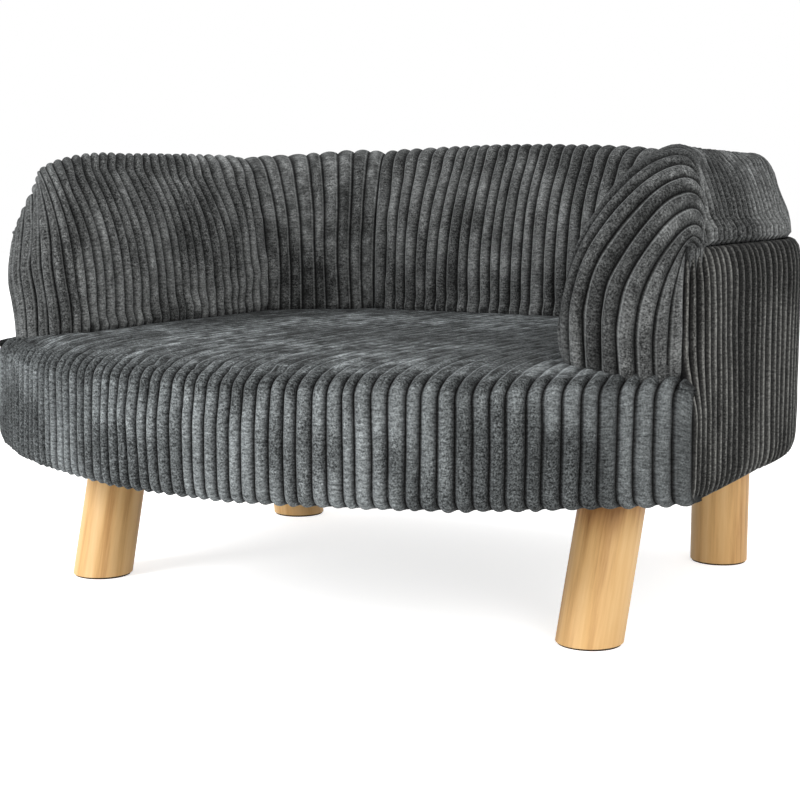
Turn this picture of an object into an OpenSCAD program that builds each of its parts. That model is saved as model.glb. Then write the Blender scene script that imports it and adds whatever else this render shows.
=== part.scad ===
// Raised pet sofa with a bow-fronted seat, a padded wall on three sides
// and four round raked legs. The floor is z = 0, the front faces -Y.

/* [Overall] */
// Width across the two sides
bed_width = 559; // [480:1:680]
// Depth from the front of the bow to the back
bed_depth = 511; // [450:1:620]
// Height of the back above the floor
back_height = 330; // [310:1:400]
// How much lower the arms are than the back
arm_drop = 6; // [0:1:15]
// Height of the seat above the floor along its front edge
seat_height = 190; // [165:1:220]
// Height of the underside above the floor
base_height = 103; // [70:1:125]

/* [Plan] */
// How far the front bows out ahead of its corners
front_bow = 130; // [60:1:165]
// Exponent of the front bow, from round to square
bow_curve_share = 2.2; // [1.8:0.05:3]
// Outer radius of the two rear corners
rear_corner_radius = 175; // [120:1:190]

/* [Walls] */
// Thickness of the wall at its foot
wall_thickness = 89; // [70:1:110]
// Width of the flat corner inside, along the back
inner_corner_run = 75; // [40:1:95]
// Depth of the flat corner inside, along the arm
inner_corner_depth = 51; // [30:1:75]
// Height of the outer seam above the floor
seam_height = 262; // [245:1:285]
// How far an arm's front stands ahead of the front corner
arm_overhang = 33; // [20:1:45]
// Length over which the top of an arm's front rounds off
nose_length = 72; // [50:1:85]
// Length over which an arm's outer front corner rounds off
corner_round_length = 75; // [55:1:90]
// Depth of that rounding as a share of the wall's thickness
corner_round_share = 0.56; // [0.3:0.02:0.6]
// How far the ends of the padding draw in at a crease
crease_draw = 7; // [2:0.5:12]
// Angle of the crease between arm and corner round the outer arc
side_crease_angle = 25; // [15:1:35]
// Angle of the crease between corner and back round the outer arc
back_crease_angle = 78; // [65:1:84]

/* [Upholstery] */
// Thickness of the padded fabric on the outside
panel_thickness = 5.7; // [3:0.1:7]
// Thickness of the seat cover
cover_thickness = 4.2; // [2:0.1:6]
// Radius of the seat's soft front edge
edge_radius = 30; // [18:1:36]
// Height of the seat's crown
seat_crown = 6; // [2:0.5:12]
// Gap between soft pieces
soft_gap = 0.3; // [0.2:0.05:0.6]

/* [Frame] */
// Thickness of the wall boards
board_thickness = 9; // [6:0.5:12]
// Thickness of the base board
base_board_thickness = 12; // [9:0.5:15]
// Thickness of the deck under the seat foam
deck_thickness = 9; // [6:0.5:12]
// Height of the deck's top above the underside
deck_height = 57; // [45:1:60]
// Thickness of the bent board behind the front band
apron_thickness = 5; // [3:0.5:6]
// Depth of the padding in front of the bent board
band_padding = 5.5; // [4:0.5:8]
// Width of the battens
batten_width = 24; // [16:1:36]
// Distance from a side to the middle of an outer batten
batten_inset = 139.5; // [115:0.5:180]

/* [Legs] */
// Diameter of the legs
leg_diameter = 45; // [32:1:55]
// Distance from a side to the middle of a front foot
front_foot_inset = 76; // [62:0.5:95]
// Distance from a side to the middle of a rear foot
rear_foot_inset = 79.5; // [72:0.5:95]
// Distance from the front corners back to the front feet
front_foot_setback = 23; // [10:0.5:50]
// Distance from the back to the middle of the rear feet
rear_foot_setback = 78; // [70:0.5:100]
// Backward rake of the front legs, foot first
front_rake_angle = 17.6; // [0:0.1:20]
// Forward rake of the rear legs, foot first
rear_rake_angle = 6.3; // [0:0.1:16]
// Outward lean of the legs towards their tops
toe_in_angle = 2.1; // [0:0.1:5]
// Thickness of the foot pads
pad_thickness = 1.5; // [1:0.1:5]
// How much smaller the pads are than the legs, in radius
pad_inset = 1.2; // [0.5:0.1:4]
// Thread diameter of the leg bolts
bolt_diameter = 8; // [6:1:10]
// Length of a leg bolt in its leg
bolt_depth = 26; // [16:1:32]
// Clearance round the bolts
bolt_clearance = 0.1; // [0.05:0.05:0.3]
// Diameter of the insert nut's flange
nut_flange = 24; // [18:1:30]
// Thickness of the insert nut's flange and wall
nut_wall = 1.6; // [1:0.1:2.5]
// Thickness of the cloth under the base
dust_cloth = 1; // [0.6:0.1:2]

/* [Hidden] */

arm_height = back_height - arm_drop;
half_w = bed_width / 2;
half_d = bed_depth / 2;
corner_y = -half_d + front_bow;
arc_x = half_w - rear_corner_radius;
arc_y = half_d - rear_corner_radius;
inner_x = half_w - wall_thickness;
inner_y = half_d - wall_thickness;
foot_z = seat_height + soft_gap;
nose_y = corner_y - arm_overhang;
seam_z = seam_height;

board_out = panel_thickness + 2 * soft_gap;
board_in = board_out + board_thickness;
rebate = board_in + soft_gap;
frame_in = board_in + 2 * soft_gap;
board_front = max(corner_y + frame_in, nose_y + corner_round_length);
panel_lip = frame_in;
board_top = seam_z - panel_thickness - 2 * soft_gap;
board_bottom = base_height + cover_thickness / 2 + soft_gap;

apron_in = cover_thickness + band_padding + 2 * soft_gap;
front_in = apron_in + apron_thickness + soft_gap;
deck_top = base_height + deck_height;
base_top = board_bottom + base_board_thickness;

leg_top = base_height + dust_cloth;
cloth_bottom = leg_top + soft_gap / 2;
front_foot_x = half_w - front_foot_inset;
rear_foot_x = half_w - rear_foot_inset;
front_foot_y = corner_y + front_foot_setback;
rear_foot_y = half_d - rear_foot_setback;
leg_r = leg_diameter / 2;
bolt_r = bolt_diameter / 2;
nut_r = bolt_r + bolt_clearance + nut_wall;

// Each row is a foot: x, y, rake in degrees along Y and lean along X
feet = [
  [-front_foot_x, front_foot_y, front_rake_angle, -toe_in_angle],
  [front_foot_x, front_foot_y, front_rake_angle, toe_in_angle],
  [-rear_foot_x, rear_foot_y, -rear_rake_angle, -toe_in_angle],
  [rear_foot_x, rear_foot_y, -rear_rake_angle, toe_in_angle]];

// Shares of the wall's thickness and of its height over the seat, inside face
inner_shares = [[0.965, 0], [0.995, 0.07], [1.005, 0.17], [0.995, 0.31],
  [0.965, 0.46], [0.91, 0.61], [0.83, 0.745], [0.725, 0.86], [0.6, 0.95],
  [0.51, 0.988], [0.43, 1]];
// Shares of the wall's thickness and of the roll's height over the seam
outer_shares = [[0.35, 0.96], [0.265, 0.85], [0.2, 0.69], [0.155, 0.5],
  [0.128, 0.33], [0.112, 0.19], [0.108, 0.07]];

function mix(a, b, t) = a + (b - a) * t;
function clip(t) = max(0, min(1, t));
function smooth(t) = let (c = clip(t)) c * c * (3 - 2 * c);
function unit(v) = v / norm(v);
function mirrored(p) = [-p.x, p.y, p.z];

// The front curve and its inward normal at the share t from -1 to 1
function front_y(x) = -half_d + front_bow * pow(min(1, abs(x) / half_w), bow_curve_share);
function front_slope(x) = front_bow * bow_curve_share / half_w * sign(x)
  * pow(abs(x) / half_w, bow_curve_share - 1);
function front_station(t) = let (x = half_w * t, m = front_slope(x))
  [[x, front_y(x)], unit([-m, 1])];

// A point of the rear arc with its inward normal, at an angle from +X
function arc_station(a) =
  [[arc_x + rear_corner_radius * cos(a), arc_y + rear_corner_radius * sin(a)],
   [-cos(a), -sin(a)]];

// Distance along the right side from the start, then round the arc
function side_station(start, s) = let (run = arc_y - start)
  s <= run ? [[half_w, start + s], [-1, 0]]
           : arc_station((s - run) / rear_corner_radius * 180 / PI);

// Rounding of an end: inset at the share t of its length, 0 to 1
function round_in(t) = 1 - sqrt(1 - clip(t) * clip(t));

// A closed skin through sections of equal counts, with a middle point per end
module skin(sections, first, last) {
  n = len(sections[0]);
  m = len(sections);
  points = concat([for (s = sections) for (p = s) p], [first, last]);
  sides = [for (i = [0 : m - 2]) for (k = [0 : n - 1])
    let (a = i * n + k, b = i * n + (k + 1) % n, c = a + n, d = b + n)
    each [[a, d, b], [a, c, d]]];
  start = [for (k = [0 : n - 1]) [m * n, k, (k + 1) % n]];
  finish = [for (k = [0 : n - 1]) [m * n + 1, (m - 1) * n + (k + 1) % n, (m - 1) * n + k]];
  polyhedron(points = points, faces = concat(sides, start, finish), convexity = 6);
}

// A point of the wall: station, distance inwards, height
function wall_point(o, inner, nrm, u, z) =
  let (v = inner - o, deep = v * nrm, fixed = 2 * board_in,
       reach = u <= fixed ? u
         : fixed + (u - fixed) * (deep - fixed) / (wall_thickness - fixed),
       p = o + v * reach / deep)
  [p.x, p.y, z];

// One section of the padding: insets at the inside, outside and top, and the
// depth of the rebate that the boards and the outer fabric stand in
pivot = wall_thickness * 0.66;
function wall_section(o, inner, nrm, top, in_in, in_out, in_top, cut, lift = 0) =
  let (t = wall_thickness, h = top - foot_z - in_top, r = top - in_top - seam_z,
       bare = cut < panel_thickness, lip = bare ? cut : 0.11 * t,
       in_share = 1 - in_in / (t - pivot), out_share = 1 - in_out / pivot)
  concat(
    [for (q = inner_shares) let (u = t * q[0])
      wall_point(o, inner, nrm, mix(pivot, u, u > pivot ? in_share : out_share),
        foot_z + h * q[1])],
    [for (q = outer_shares)
      wall_point(o, inner, nrm, mix(pivot, t * (bare ? bare_share(q) : q[0]), out_share),
        seam_z + soft_gap + r * q[1])],
    [wall_point(o, inner, nrm, in_out + lip, seam_z + soft_gap),
     wall_point(o, inner, nrm, in_out + cut, seam_z + (bare ? 0 : soft_gap)),
     wall_point(o, inner, nrm, in_out + cut, mix(foot_z, seam_z, 0.2)),
     for (q = [0, 0.25, 0.5, 0.75])
       let (p = wall_point(o, inner, nrm,
              mix(in_out + cut, mix(pivot, t * inner_shares[0][0], in_share), q), foot_z),
            limit = min(front_y(p.x) + frame_in / 2, corner_y - 3 * soft_gap))
         [p.x, lift > 0 ? max(p.y, mix(limit, p.y, 0.04)) : p.y, foot_z]]);
// Ahead of the outer fabric the roll runs straight on down into the wall's face
function bare_share(q) = mix(soft_gap * 3 / wall_thickness, q[0], smooth((q[1] - 0.05) / 0.8));

function wall_middle(o, inner, nrm, top) =
  wall_point(o, inner, nrm, wall_thickness * 0.5, mix(foot_z, top, 0.66));

function along(v, d, p) = [p.x + v.x * d, p.y + v.y * d, p.z];

// The arm's padding, front first, then back to its crease with the corner
fan_start = corner_y + mix(0, arc_y - corner_y, 0.7);
crease_in = [inner_x, inner_y - inner_corner_depth];
crease_back = [inner_x - inner_corner_run, inner_y];
fan_length = arc_y - fan_start + rear_corner_radius * side_crease_angle * PI / 180;

function side_inset(y) = wall_thickness * corner_round_share
  * round_in((nose_y + corner_round_length - y) / corner_round_length);
function nose_section(y, cut) = let (
    back = (nose_y + nose_length - y) / nose_length,
    side = (nose_y + nose_length * 0.72 - y) / (nose_length * 0.72))
  wall_section([half_w, y], [inner_x, y], [-1, 0], arm_height,
    round_in(side) * wall_thickness * 0.25, side_inset(y),
    round_in(back) * (arm_height - seam_z) * 0.75, cut, 1);

function fan_section(f) = let (
    s = side_station(fan_start, fan_length * f),
    inner = [inner_x, mix(fan_start, crease_in.y, f)],
    pull = pow(clip((f - 0.8) / 0.2), 2) * crease_draw)
  wall_section(s[0], inner, s[1], arm_height, pull, 0, pull, rebate);

nose_steps = [0, 0.17, 0.34, 0.51, 0.67, 0.83, 1];
panel_cut = panel_thickness + 2 * soft_gap;
panel_front = corner_y + 2 * soft_gap;
lap_rows = [for (q = [0.45, 1])
  mix(panel_front + panel_thickness, board_front - board_thickness / 3, q)];
nose_rows = concat(
  [for (q = nose_steps) [nose_y + (corner_y - nose_y) * (1 - cos(90 * q)), soft_gap * 3]],
  [[corner_y + 0.9 * panel_cut - soft_gap / 2, panel_cut]],
  [for (y = lap_rows) [y, panel_cut]],
  [[board_front - soft_gap, rebate]]);
fan_steps = [0, 0.25, 0.5, 0.7, 0.86, 0.95, 1];

function crease_shift(sections, v) = [for (i = [0 : len(sections) - 1])
  i == len(sections) - 1 ? [for (p = sections[i]) along(v, soft_gap, p)] : sections[i]];

nose_middle = [half_w - pivot, nose_y, mix(foot_z, arm_height, 0.45)];
nose_crown = nose_length * 0.05;
function nose_ring(share) = [for (p = nose_section(nose_y, soft_gap * 3))
  [mix(nose_middle.x, p.x, share),
   mix(nose_y, p.y, share * share * share) - nose_crown * (1 - share * share),
   mix(nose_middle.z, p.z, share)]];

module arm_bolster() {
  raw = concat([nose_ring(0.42), nose_ring(0.78)],
    [for (q = nose_rows) nose_section(q[0], q[1])],
    [for (f = fan_steps) fan_section(f)]);
  rows = crease_shift(raw, [0, -1]);
  skin(rows, along([0, -1], nose_crown, nose_middle),
    along([0, -1], soft_gap, let (s = side_station(fan_start, fan_length))
      wall_middle(s[0], crease_in, s[1], arm_height)));
}

corner_steps = [0, 0.04, 0.12, 0.24, 0.38, 0.5, 0.62, 0.76, 0.88, 0.96, 1];
function corner_top(f) = mix(arm_height, back_height, smooth(f));
function corner_section(f) = let (
    s = arc_station(mix(side_crease_angle, back_crease_angle, f)),
    inner = mix(crease_in, crease_back, f),
    pull = pow(clip((abs(f - 0.5) - 0.38) / 0.12), 2) * crease_draw)
  wall_section(s[0], inner, s[1], corner_top(f), pull * (f < 0.5 ? 1 : 0.6), 0,
    pull * (f < 0.5 ? 1 : 0.6), rebate);

module corner_bolster() {
  raw = [for (f = corner_steps) corner_section(f)];
  n = len(raw) - 1;
  first = [for (p = raw[0]) along([0, 1], soft_gap, p)];
  rows = concat([first], [for (i = [1 : n - 1]) raw[i]],
    [[for (p = raw[n]) along([1, 0], soft_gap, p)]]);
  s = arc_station(side_crease_angle);
  e = arc_station(back_crease_angle);
  skin(rows, along([0, 1], soft_gap, wall_middle(s[0], crease_in, s[1], arm_height)),
    along([1, 0], soft_gap, wall_middle(e[0], crease_back, e[1], back_height)));
}

// The back's padding runs between the two inner creases
back_steps = [1, 0.96, 0.88, 0.7, 0.45, 0.2, 0];
back_reach = arc_station(back_crease_angle)[0].x;
function back_outer(x) = abs(x) <= arc_x ? [[x, half_d], [0, -1]]
  : let (a = acos((abs(x) - arc_x) / rear_corner_radius), s = arc_station(a))
    x > 0 ? s : [[-s[0].x, s[0].y], [-s[1].x, s[1].y]];
function back_section(f) = let (
    x = crease_back.x * f,
    wide = mix(x, back_reach * f, smooth((abs(f) - 0.45) / 0.55)),
    s = back_outer(wide),
    pull = pow(clip((abs(f) - 0.88) / 0.12), 2) * crease_draw * 0.6)
  wall_section(s[0], [x, inner_y], s[1], back_height, pull, 0, pull, rebate);

module back_bolster() {
  half = [for (f = back_steps) back_section(f)];
  n = len(half);
  right = concat([[for (p = half[0]) along([-1, 0], soft_gap, p)]],
    [for (i = [1 : n - 1]) half[i]]);
  left = [for (i = [n - 2 : -1 : 0]) [for (p = right[i]) mirrored(p)]];
  s = back_outer(back_reach);
  m = along([-1, 0], soft_gap, wall_middle(s[0], crease_back, s[1], back_height));
  skin(concat(right, left), m, mirrored(m));
}

// The outer fabric: pairs of outer and inner points, from the lip under the
// base up to the fold over the boards
panel_rise = seam_z - soft_gap - base_height;
panel_outer = [[panel_lip, 0], [panel_lip * 0.5, 0], [panel_thickness * 0.5, cover_thickness * 0.45],
  [panel_thickness * 0.12, cover_thickness * 1.5], [0, cover_thickness * 3.2],
  [0, panel_rise * 0.3], [0, seat_height - base_height],
  [0, mix(seat_height - base_height, panel_rise, 0.25)], [0, panel_rise * 0.8],
  [panel_thickness * 0.17, panel_rise * 0.88], [panel_thickness * 0.55, panel_rise * 0.95],
  [panel_thickness * 1.1, panel_rise * 0.985], [panel_thickness * 1.7, panel_rise],
  [board_in - 2 * soft_gap, panel_rise]];
panel_low = cover_thickness / 2;
panel_high = board_top + soft_gap - base_height;
panel_inner = [[panel_lip, panel_low], [panel_lip * 0.6, panel_low], [panel_thickness, panel_low],
  [panel_thickness, panel_low * 1.7], [panel_thickness, cover_thickness * 3.2],
  [panel_thickness, panel_rise * 0.3], [panel_thickness, seat_height - base_height],
  [panel_thickness, mix(seat_height - base_height, panel_rise, 0.25)],
  [panel_thickness, panel_rise * 0.8], [panel_thickness, panel_rise * 0.88],
  [panel_thickness, mix(panel_rise * 0.88, panel_high, 0.6)],
  [panel_thickness, panel_high], [panel_thickness * 1.7, panel_high],
  [board_in - 2 * soft_gap, panel_high]];
panel_profile = concat(panel_outer, [for (i = [len(panel_inner) - 1 : -1 : 0]) panel_inner[i]]);

// Ahead of the boards the fabric ends in a blunt edge instead of a fold
blunt_outer = concat([for (i = [0 : 8]) panel_outer[i]],
  [[panel_thickness * 0.17, panel_rise * 0.88], [panel_thickness * 0.36, panel_rise * 0.95],
   [panel_thickness * 0.52, panel_rise * 0.98], [panel_thickness * 0.68, panel_rise * 0.993],
   [panel_thickness * 0.84, panel_rise]]);
blunt_inner = concat([for (i = [0 : 11]) panel_inner[i]],
  [[panel_thickness * 0.99, mix(panel_high, panel_rise, 0.45)],
   [panel_thickness * 0.95, mix(panel_high, panel_rise, 0.85)]]);
blunt_profile = concat(blunt_outer, [for (i = [len(blunt_inner) - 1 : -1 : 0]) blunt_inner[i]]);

function panel_row(s) = [for (q = panel_profile) let (p = s[0] + s[1] * q[0])
  [p.x, p.y, base_height + q[1]]];
// Above the seat the fabric follows the arm's rounded front corner
function blunt_row(y, slant) = [for (q = blunt_profile)
  let (above = q[1] > seat_height - base_height + soft_gap,
       way = y + q[0] * (slant ? 0.9 : 0),
       u = q[0] + (above ? side_inset(way) : 0))
  [half_w - u, way, base_height + q[1]]];

// A strip skin: the two ends are closed between the outer and inner points
module strip_skin(sections) {
  n = len(sections[0]);
  h = n / 2;
  m = len(sections);
  points = [for (s = sections) for (p = s) p];
  sides = [for (i = [0 : m - 2]) for (k = [0 : n - 1])
    let (a = i * n + k, b = i * n + (k + 1) % n, c = a + n, d = b + n)
    each [[a, b, d], [a, d, c]]];
  start = [for (k = [0 : h - 2]) let (a = k, b = k + 1, c = n - 1 - k, d = n - 2 - k)
    each [[a, c, b], [b, c, d]]];
  o = (m - 1) * n;
  finish = [for (k = [0 : h - 2]) let (a = o + k, b = o + k + 1, c = o + n - 1 - k, d = o + n - 2 - k)
    each [[a, b, c], [b, d, c]]];
  polyhedron(points = points, faces = concat(sides, start, finish), convexity = 8);
}

panel_split = 45;
panel_gap_angle = soft_gap / rear_corner_radius * 180 / PI;
module side_panel() {
  strip_skin(concat([blunt_row(panel_front, true)],
    [for (y = concat(lap_rows, [board_front])) blunt_row(y, false)],
    [panel_row([[half_w, board_front + panel_thickness], [-1, 0]]),
     panel_row([[half_w, arc_y], [-1, 0]])],
    [for (a = [panel_split / 6 : panel_split / 6 : panel_split - 0.1]) panel_row(arc_station(a))],
    [panel_row(arc_station(panel_split - panel_gap_angle))]));
}

module rear_panel() {
  right = concat([panel_row(arc_station(panel_split + panel_gap_angle))],
    [for (i = [1 : 6]) panel_row(arc_station(mix(panel_split, 90, i / 6)))]);
  left = [for (i = [len(right) - 1 : -1 : 0]) [for (p = right[i]) mirrored(p)]];
  strip_skin(concat(right, left));
}

// The seat cover: stations round the plan, right side first
side_lead = frame_in * 0.85;
cover_plan = concat(
  [[[half_w, corner_y + side_lead], [-1, 0], 0], [[half_w, arc_y], [-1, 0], 0]],
  [for (a = [15 : 15 : 90]) concat(arc_station(a), [0])],
  [for (a = [90 : -15 : 0]) let (s = arc_station(a))
    [[-s[0].x, s[0].y], [-s[1].x, s[1].y], 0]],
  [[[-half_w, corner_y + side_lead], [1, 0], 0]],
  [for (i = [0 : 30]) let (t = -1 + i / 15, s = front_station(t),
      end = i == 0 ? unit([0.92, 0.39]) : i == 30 ? unit([-0.92, 0.39]) : s[1])
    [s[0], end, 1]]);
plan_middle = [0, mix(-half_d, half_d, 0.47)];

// The front edge is softer in the open middle than under the arms
function edge_at(x) = mix(edge_radius, edge_radius * 0.45,
  smooth((abs(x) - inner_x * 0.7) / wall_thickness));
edge_angles = [0, 22.5, 45, 67.5, 90];
under = cover_thickness / 2;

// Rows of the cover: each gives distance inwards and height for a station
function cover_rows(x, front, skin_in) = let (
    e = edge_at(x) - skin_in, c = skin_in, s = frame_in + skin_in,
    drop = edge_radius * 0.8)
  front == 1 ? concat(
    [[panel_lip, base_height + under * (c > 0 ? 1 : 0)],
     [mix(c, panel_lip, 0.45), base_height + under * (c > 0 ? 1 : 0)],
     [c + cover_thickness * 0.6, base_height + under * (c > 0 ? 1.1 : 0.3)],
     [c + cover_thickness * 0.15, base_height + under * (c > 0 ? 1.6 : 1.4)],
     [c, base_height + cover_thickness * 3]],
    [for (a = edge_angles) [c + e * (1 - cos(a)), seat_height - c - e * (1 - sin(a))]])
  : concat(
    [[s, seat_height - drop], [s - skin_in * 0, seat_height - drop * 0.98],
     [s, seat_height - drop * 0.94], [s, seat_height - drop * 0.9],
     [s, seat_height - drop * 0.8]],
    [for (a = edge_angles) let (r = cover_thickness * 1.5)
      [s + r * (1 - cos(a)), seat_height - c - r * (1 - sin(a))]]);

crown_shares = [[0.66, 0], [0.5, 0.55], [0.33, 0.87], [0.16, 0.98]];
inner_crown = [[0.66, 0], [0.33, 0.87]];
function cover_ring(k, skin_in) = [for (s = cover_plan)
  let (q = cover_rows(s[0].x, s[2], skin_in)[k], p = s[0] + s[1] * q[0]) [p.x, p.y, q[1]]];
function crown_ring(edge, share, z) = [for (p = edge)
  [mix(plan_middle.x, p.x, share), mix(plan_middle.y, p.y, share), z]];

module seat_cover() {
  n = len(cover_plan);
  outer_edge = cover_ring(9, 0);
  inner_edge = cover_ring(9, cover_thickness);
  inner_z = seat_height - cover_thickness;
  rings = concat(
    [for (i = [len(inner_crown) - 1 : -1 : 0])
      crown_ring(inner_edge, inner_crown[i][0], inner_z + seat_crown * inner_crown[i][1])],
    [for (k = [9, 7, 5, 4, 2, 0]) cover_ring(k, cover_thickness)],
    [for (k = [0 : 9]) cover_ring(k, 0)],
    [for (q = crown_shares) crown_ring(outer_edge, q[0], seat_height + seat_crown * q[1])]);
  m = len(rings);
  points = concat([for (r = rings) for (p = r) p],
    [[plan_middle.x, plan_middle.y, inner_z + seat_crown],
     [plan_middle.x, plan_middle.y, seat_height + seat_crown]]);
  sides = [for (i = [0 : m - 2]) for (k = [0 : n - 1])
    let (a = i * n + k, b = i * n + (k + 1) % n, c = a + n, d = b + n)
    each [[a, d, b], [a, c, d]]];
  low = [for (k = [0 : n - 1]) [m * n, k, (k + 1) % n]];
  high = [for (k = [0 : n - 1]) [m * n + 1, (m - 1) * n + (k + 1) % n, (m - 1) * n + k]];
  color([0.29, 0.32, 0.33])
    polyhedron(points = points, faces = concat(sides, low, high), convexity = 8);
}

// The plan drawn in by one distance in front and another at the walls
function plan_points(front_d, side_d) = concat(
  [[half_w - side_d, corner_y + 2 * frame_in], [half_w - side_d, arc_y]],
  [for (a = [15 : 15 : 90]) let (s = arc_station(a), p = s[0] + s[1] * side_d) [p.x, p.y]],
  [for (a = [90 : -15 : 15]) let (s = arc_station(a), p = s[0] + s[1] * side_d) [-p.x, p.y]],
  [[-(half_w - side_d), arc_y], [-(half_w - side_d), corner_y + 2 * frame_in]],
  front_run(front_d, 0.95));
function front_run(d, reach) = [for (i = [0 : 40]) let (
    s = front_station(reach * (-1 + i / 20)), p = s[0] + s[1] * d) [p.x, p.y]];

module slab(front_d, side_d, z, h) {
  translate([0, 0, z]) linear_extrude(h) polygon(plan_points(front_d, side_d));
}

module front_strip(d0, d1, reach, z, h) {
  inner = front_run(d1, reach);
  translate([0, 0, z]) linear_extrude(h)
    polygon(concat(front_run(d0, reach), [for (i = [len(inner) - 1 : -1 : 0]) inner[i]]));
}

module seat_foam() {
  low = deck_top + soft_gap;
  high = seat_height - cover_thickness - soft_gap;
  step = high - low > 10 * soft_gap ? mix(low, high, 0.72) : high;
  color([0.93, 0.9, 0.78]) union() {
    slab(front_in + cover_thickness, frame_in + cover_thickness + soft_gap, low, step - low);
    slab(edge_radius + 2 * cover_thickness, frame_in + 3 * cover_thickness, low, high - low);
  }
}

strip_reach = 0.9;
module band_padding_strip() {
  color([0.95, 0.95, 0.93])
    front_strip(cover_thickness + soft_gap, apron_in - soft_gap, strip_reach,
      base_height + 3 * cover_thickness + soft_gap,
      deck_height - 3 * cover_thickness - soft_gap);
}

module front_apron() {
  color([0.62, 0.47, 0.32])
    front_strip(apron_in, apron_in + apron_thickness, strip_reach,
      board_bottom, deck_top - board_bottom);
}

module bolt_places() {
  for (f = feet)
    translate([f[0] + leg_top * tan(f[3]), f[1] + leg_top * tan(f[2]), 0]) children();
}

module base_board() {
  color([0.78, 0.63, 0.44]) difference() {
    slab(front_in, frame_in, board_bottom, base_board_thickness);
    bolt_places() translate([0, 0, board_bottom - base_board_thickness])
      cylinder(h = 3 * base_board_thickness, r = nut_r + bolt_clearance, $fn = 48);
  }
}

module deck_board() {
  color([0.78, 0.63, 0.44])
    slab(front_in, frame_in, deck_top - deck_thickness, deck_thickness);
}

module batten(x) {
  low = base_top;
  high = deck_top - deck_thickness;
  front = front_y(x) + front_in + batten_width;
  back = half_d - 2 * frame_in - batten_width;
  color([0.85, 0.7, 0.5]) translate([x - batten_width / 2, front, low])
    cube([batten_width, back - front, high - low]);
}
module batten_left() { batten(batten_inset - half_w); }
module batten_middle() { batten(0); }
module batten_right() { batten(half_w - batten_inset); }

module arm_board() {
  translate([half_w - board_in, board_front, board_bottom])
    cube([board_thickness, arc_y - board_front - soft_gap, board_top - board_bottom]);
}
module corner_board() {
  intersection() {
    translate([arc_x, arc_y, board_bottom]) difference() {
      cylinder(h = board_top - board_bottom, r = rear_corner_radius - board_out, $fn = 96);
      translate([0, 0, -board_thickness])
        cylinder(h = board_top, r = rear_corner_radius - board_in, $fn = 96);
    }
    translate([arc_x, arc_y, 0]) cube([half_w, half_d, board_top + board_thickness]);
  }
}
board_tone = [0.66, 0.52, 0.36];
module arm_board_right() { color(board_tone) arm_board(); }
module arm_board_left() { color(board_tone) mirror([1, 0, 0]) arm_board(); }
module corner_board_right() { color(board_tone) corner_board(); }
module corner_board_left() { color(board_tone) mirror([1, 0, 0]) corner_board(); }
module back_board() {
  reach = arc_x - soft_gap;
  color(board_tone) translate([-reach, half_d - board_in, board_bottom])
    cube([2 * reach, board_thickness, board_top - board_bottom]);
}

fabric_tone = [0.29, 0.32, 0.33];
module arm_bolster_right() { color(fabric_tone) arm_bolster(); }
module arm_bolster_left() { color(fabric_tone) mirror([1, 0, 0]) arm_bolster(); }
module corner_bolster_right() { color(fabric_tone) corner_bolster(); }
module corner_bolster_left() { color(fabric_tone) mirror([1, 0, 0]) corner_bolster(); }
module side_panel_right() { color(fabric_tone) side_panel(); }
module side_panel_left() { color(fabric_tone) mirror([1, 0, 0]) side_panel(); }

module dust_cover() {
  color([0.06, 0.06, 0.06]) difference() {
    slab(panel_lip + 2 * soft_gap, panel_lip + 2 * soft_gap, cloth_bottom, dust_cloth);
    bolt_places() translate([0, 0, cloth_bottom - dust_cloth])
      cylinder(h = 3 * dust_cloth, r = bolt_r + bolt_clearance, $fn = 48);
  }
}

// A leg is a raked round bar cut level at the floor end and under the base
module leg(f) {
  reach = leg_top + leg_diameter;
  top_x = f[0] + leg_top * tan(f[3]);
  top_y = f[1] + leg_top * tan(f[2]);
  color([0.84, 0.66, 0.42]) difference() {
    intersection() {
      translate([f[0], f[1], 0]) rotate([-f[2], f[3], 0])
        translate([0, 0, -leg_diameter]) cylinder(h = reach + 2 * leg_diameter, r = leg_r, $fn = 96);
      translate([f[0] - reach, f[1] - reach, pad_thickness])
        cube([2 * reach, 2 * reach, leg_top - pad_thickness]);
    }
    translate([top_x, top_y, leg_top - bolt_depth])
      cylinder(h = bolt_depth + leg_r, r = bolt_r + bolt_clearance, $fn = 48);
  }
}
module foot_pad(f) {
  color([0.17, 0.11, 0.08]) translate([f[0], f[1], 0])
    cylinder(h = pad_thickness, r = leg_r - pad_inset, $fn = 96);
}
module leg_front_left() { leg(feet[0]); }
module leg_front_right() { leg(feet[1]); }
module leg_rear_left() { leg(feet[2]); }
module leg_rear_right() { leg(feet[3]); }
module foot_pad_front_left() { foot_pad(feet[0]); }
module foot_pad_front_right() { foot_pad(feet[1]); }
module foot_pad_rear_left() { foot_pad(feet[2]); }
module foot_pad_rear_right() { foot_pad(feet[3]); }

module leg_bolts() {
  color([0.62, 0.62, 0.64]) bolt_places()
    translate([0, 0, leg_top - bolt_depth + soft_gap])
      cylinder(h = bolt_depth + base_top - leg_top, r = bolt_r, $fn = 48);
}

module insert_nuts() {
  color([0.75, 0.75, 0.76]) bolt_places() difference() {
    union() {
      translate([0, 0, base_top]) cylinder(h = nut_wall, r = nut_flange / 2, $fn = 64);
      translate([0, 0, base_top - base_board_thickness * 0.75])
        cylinder(h = base_board_thickness * 0.75 + nut_wall / 2, r = nut_r, $fn = 48);
    }
    translate([0, 0, board_bottom])
      cylinder(h = 2 * base_board_thickness, r = bolt_r + bolt_clearance, $fn = 48);
  }
}

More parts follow.
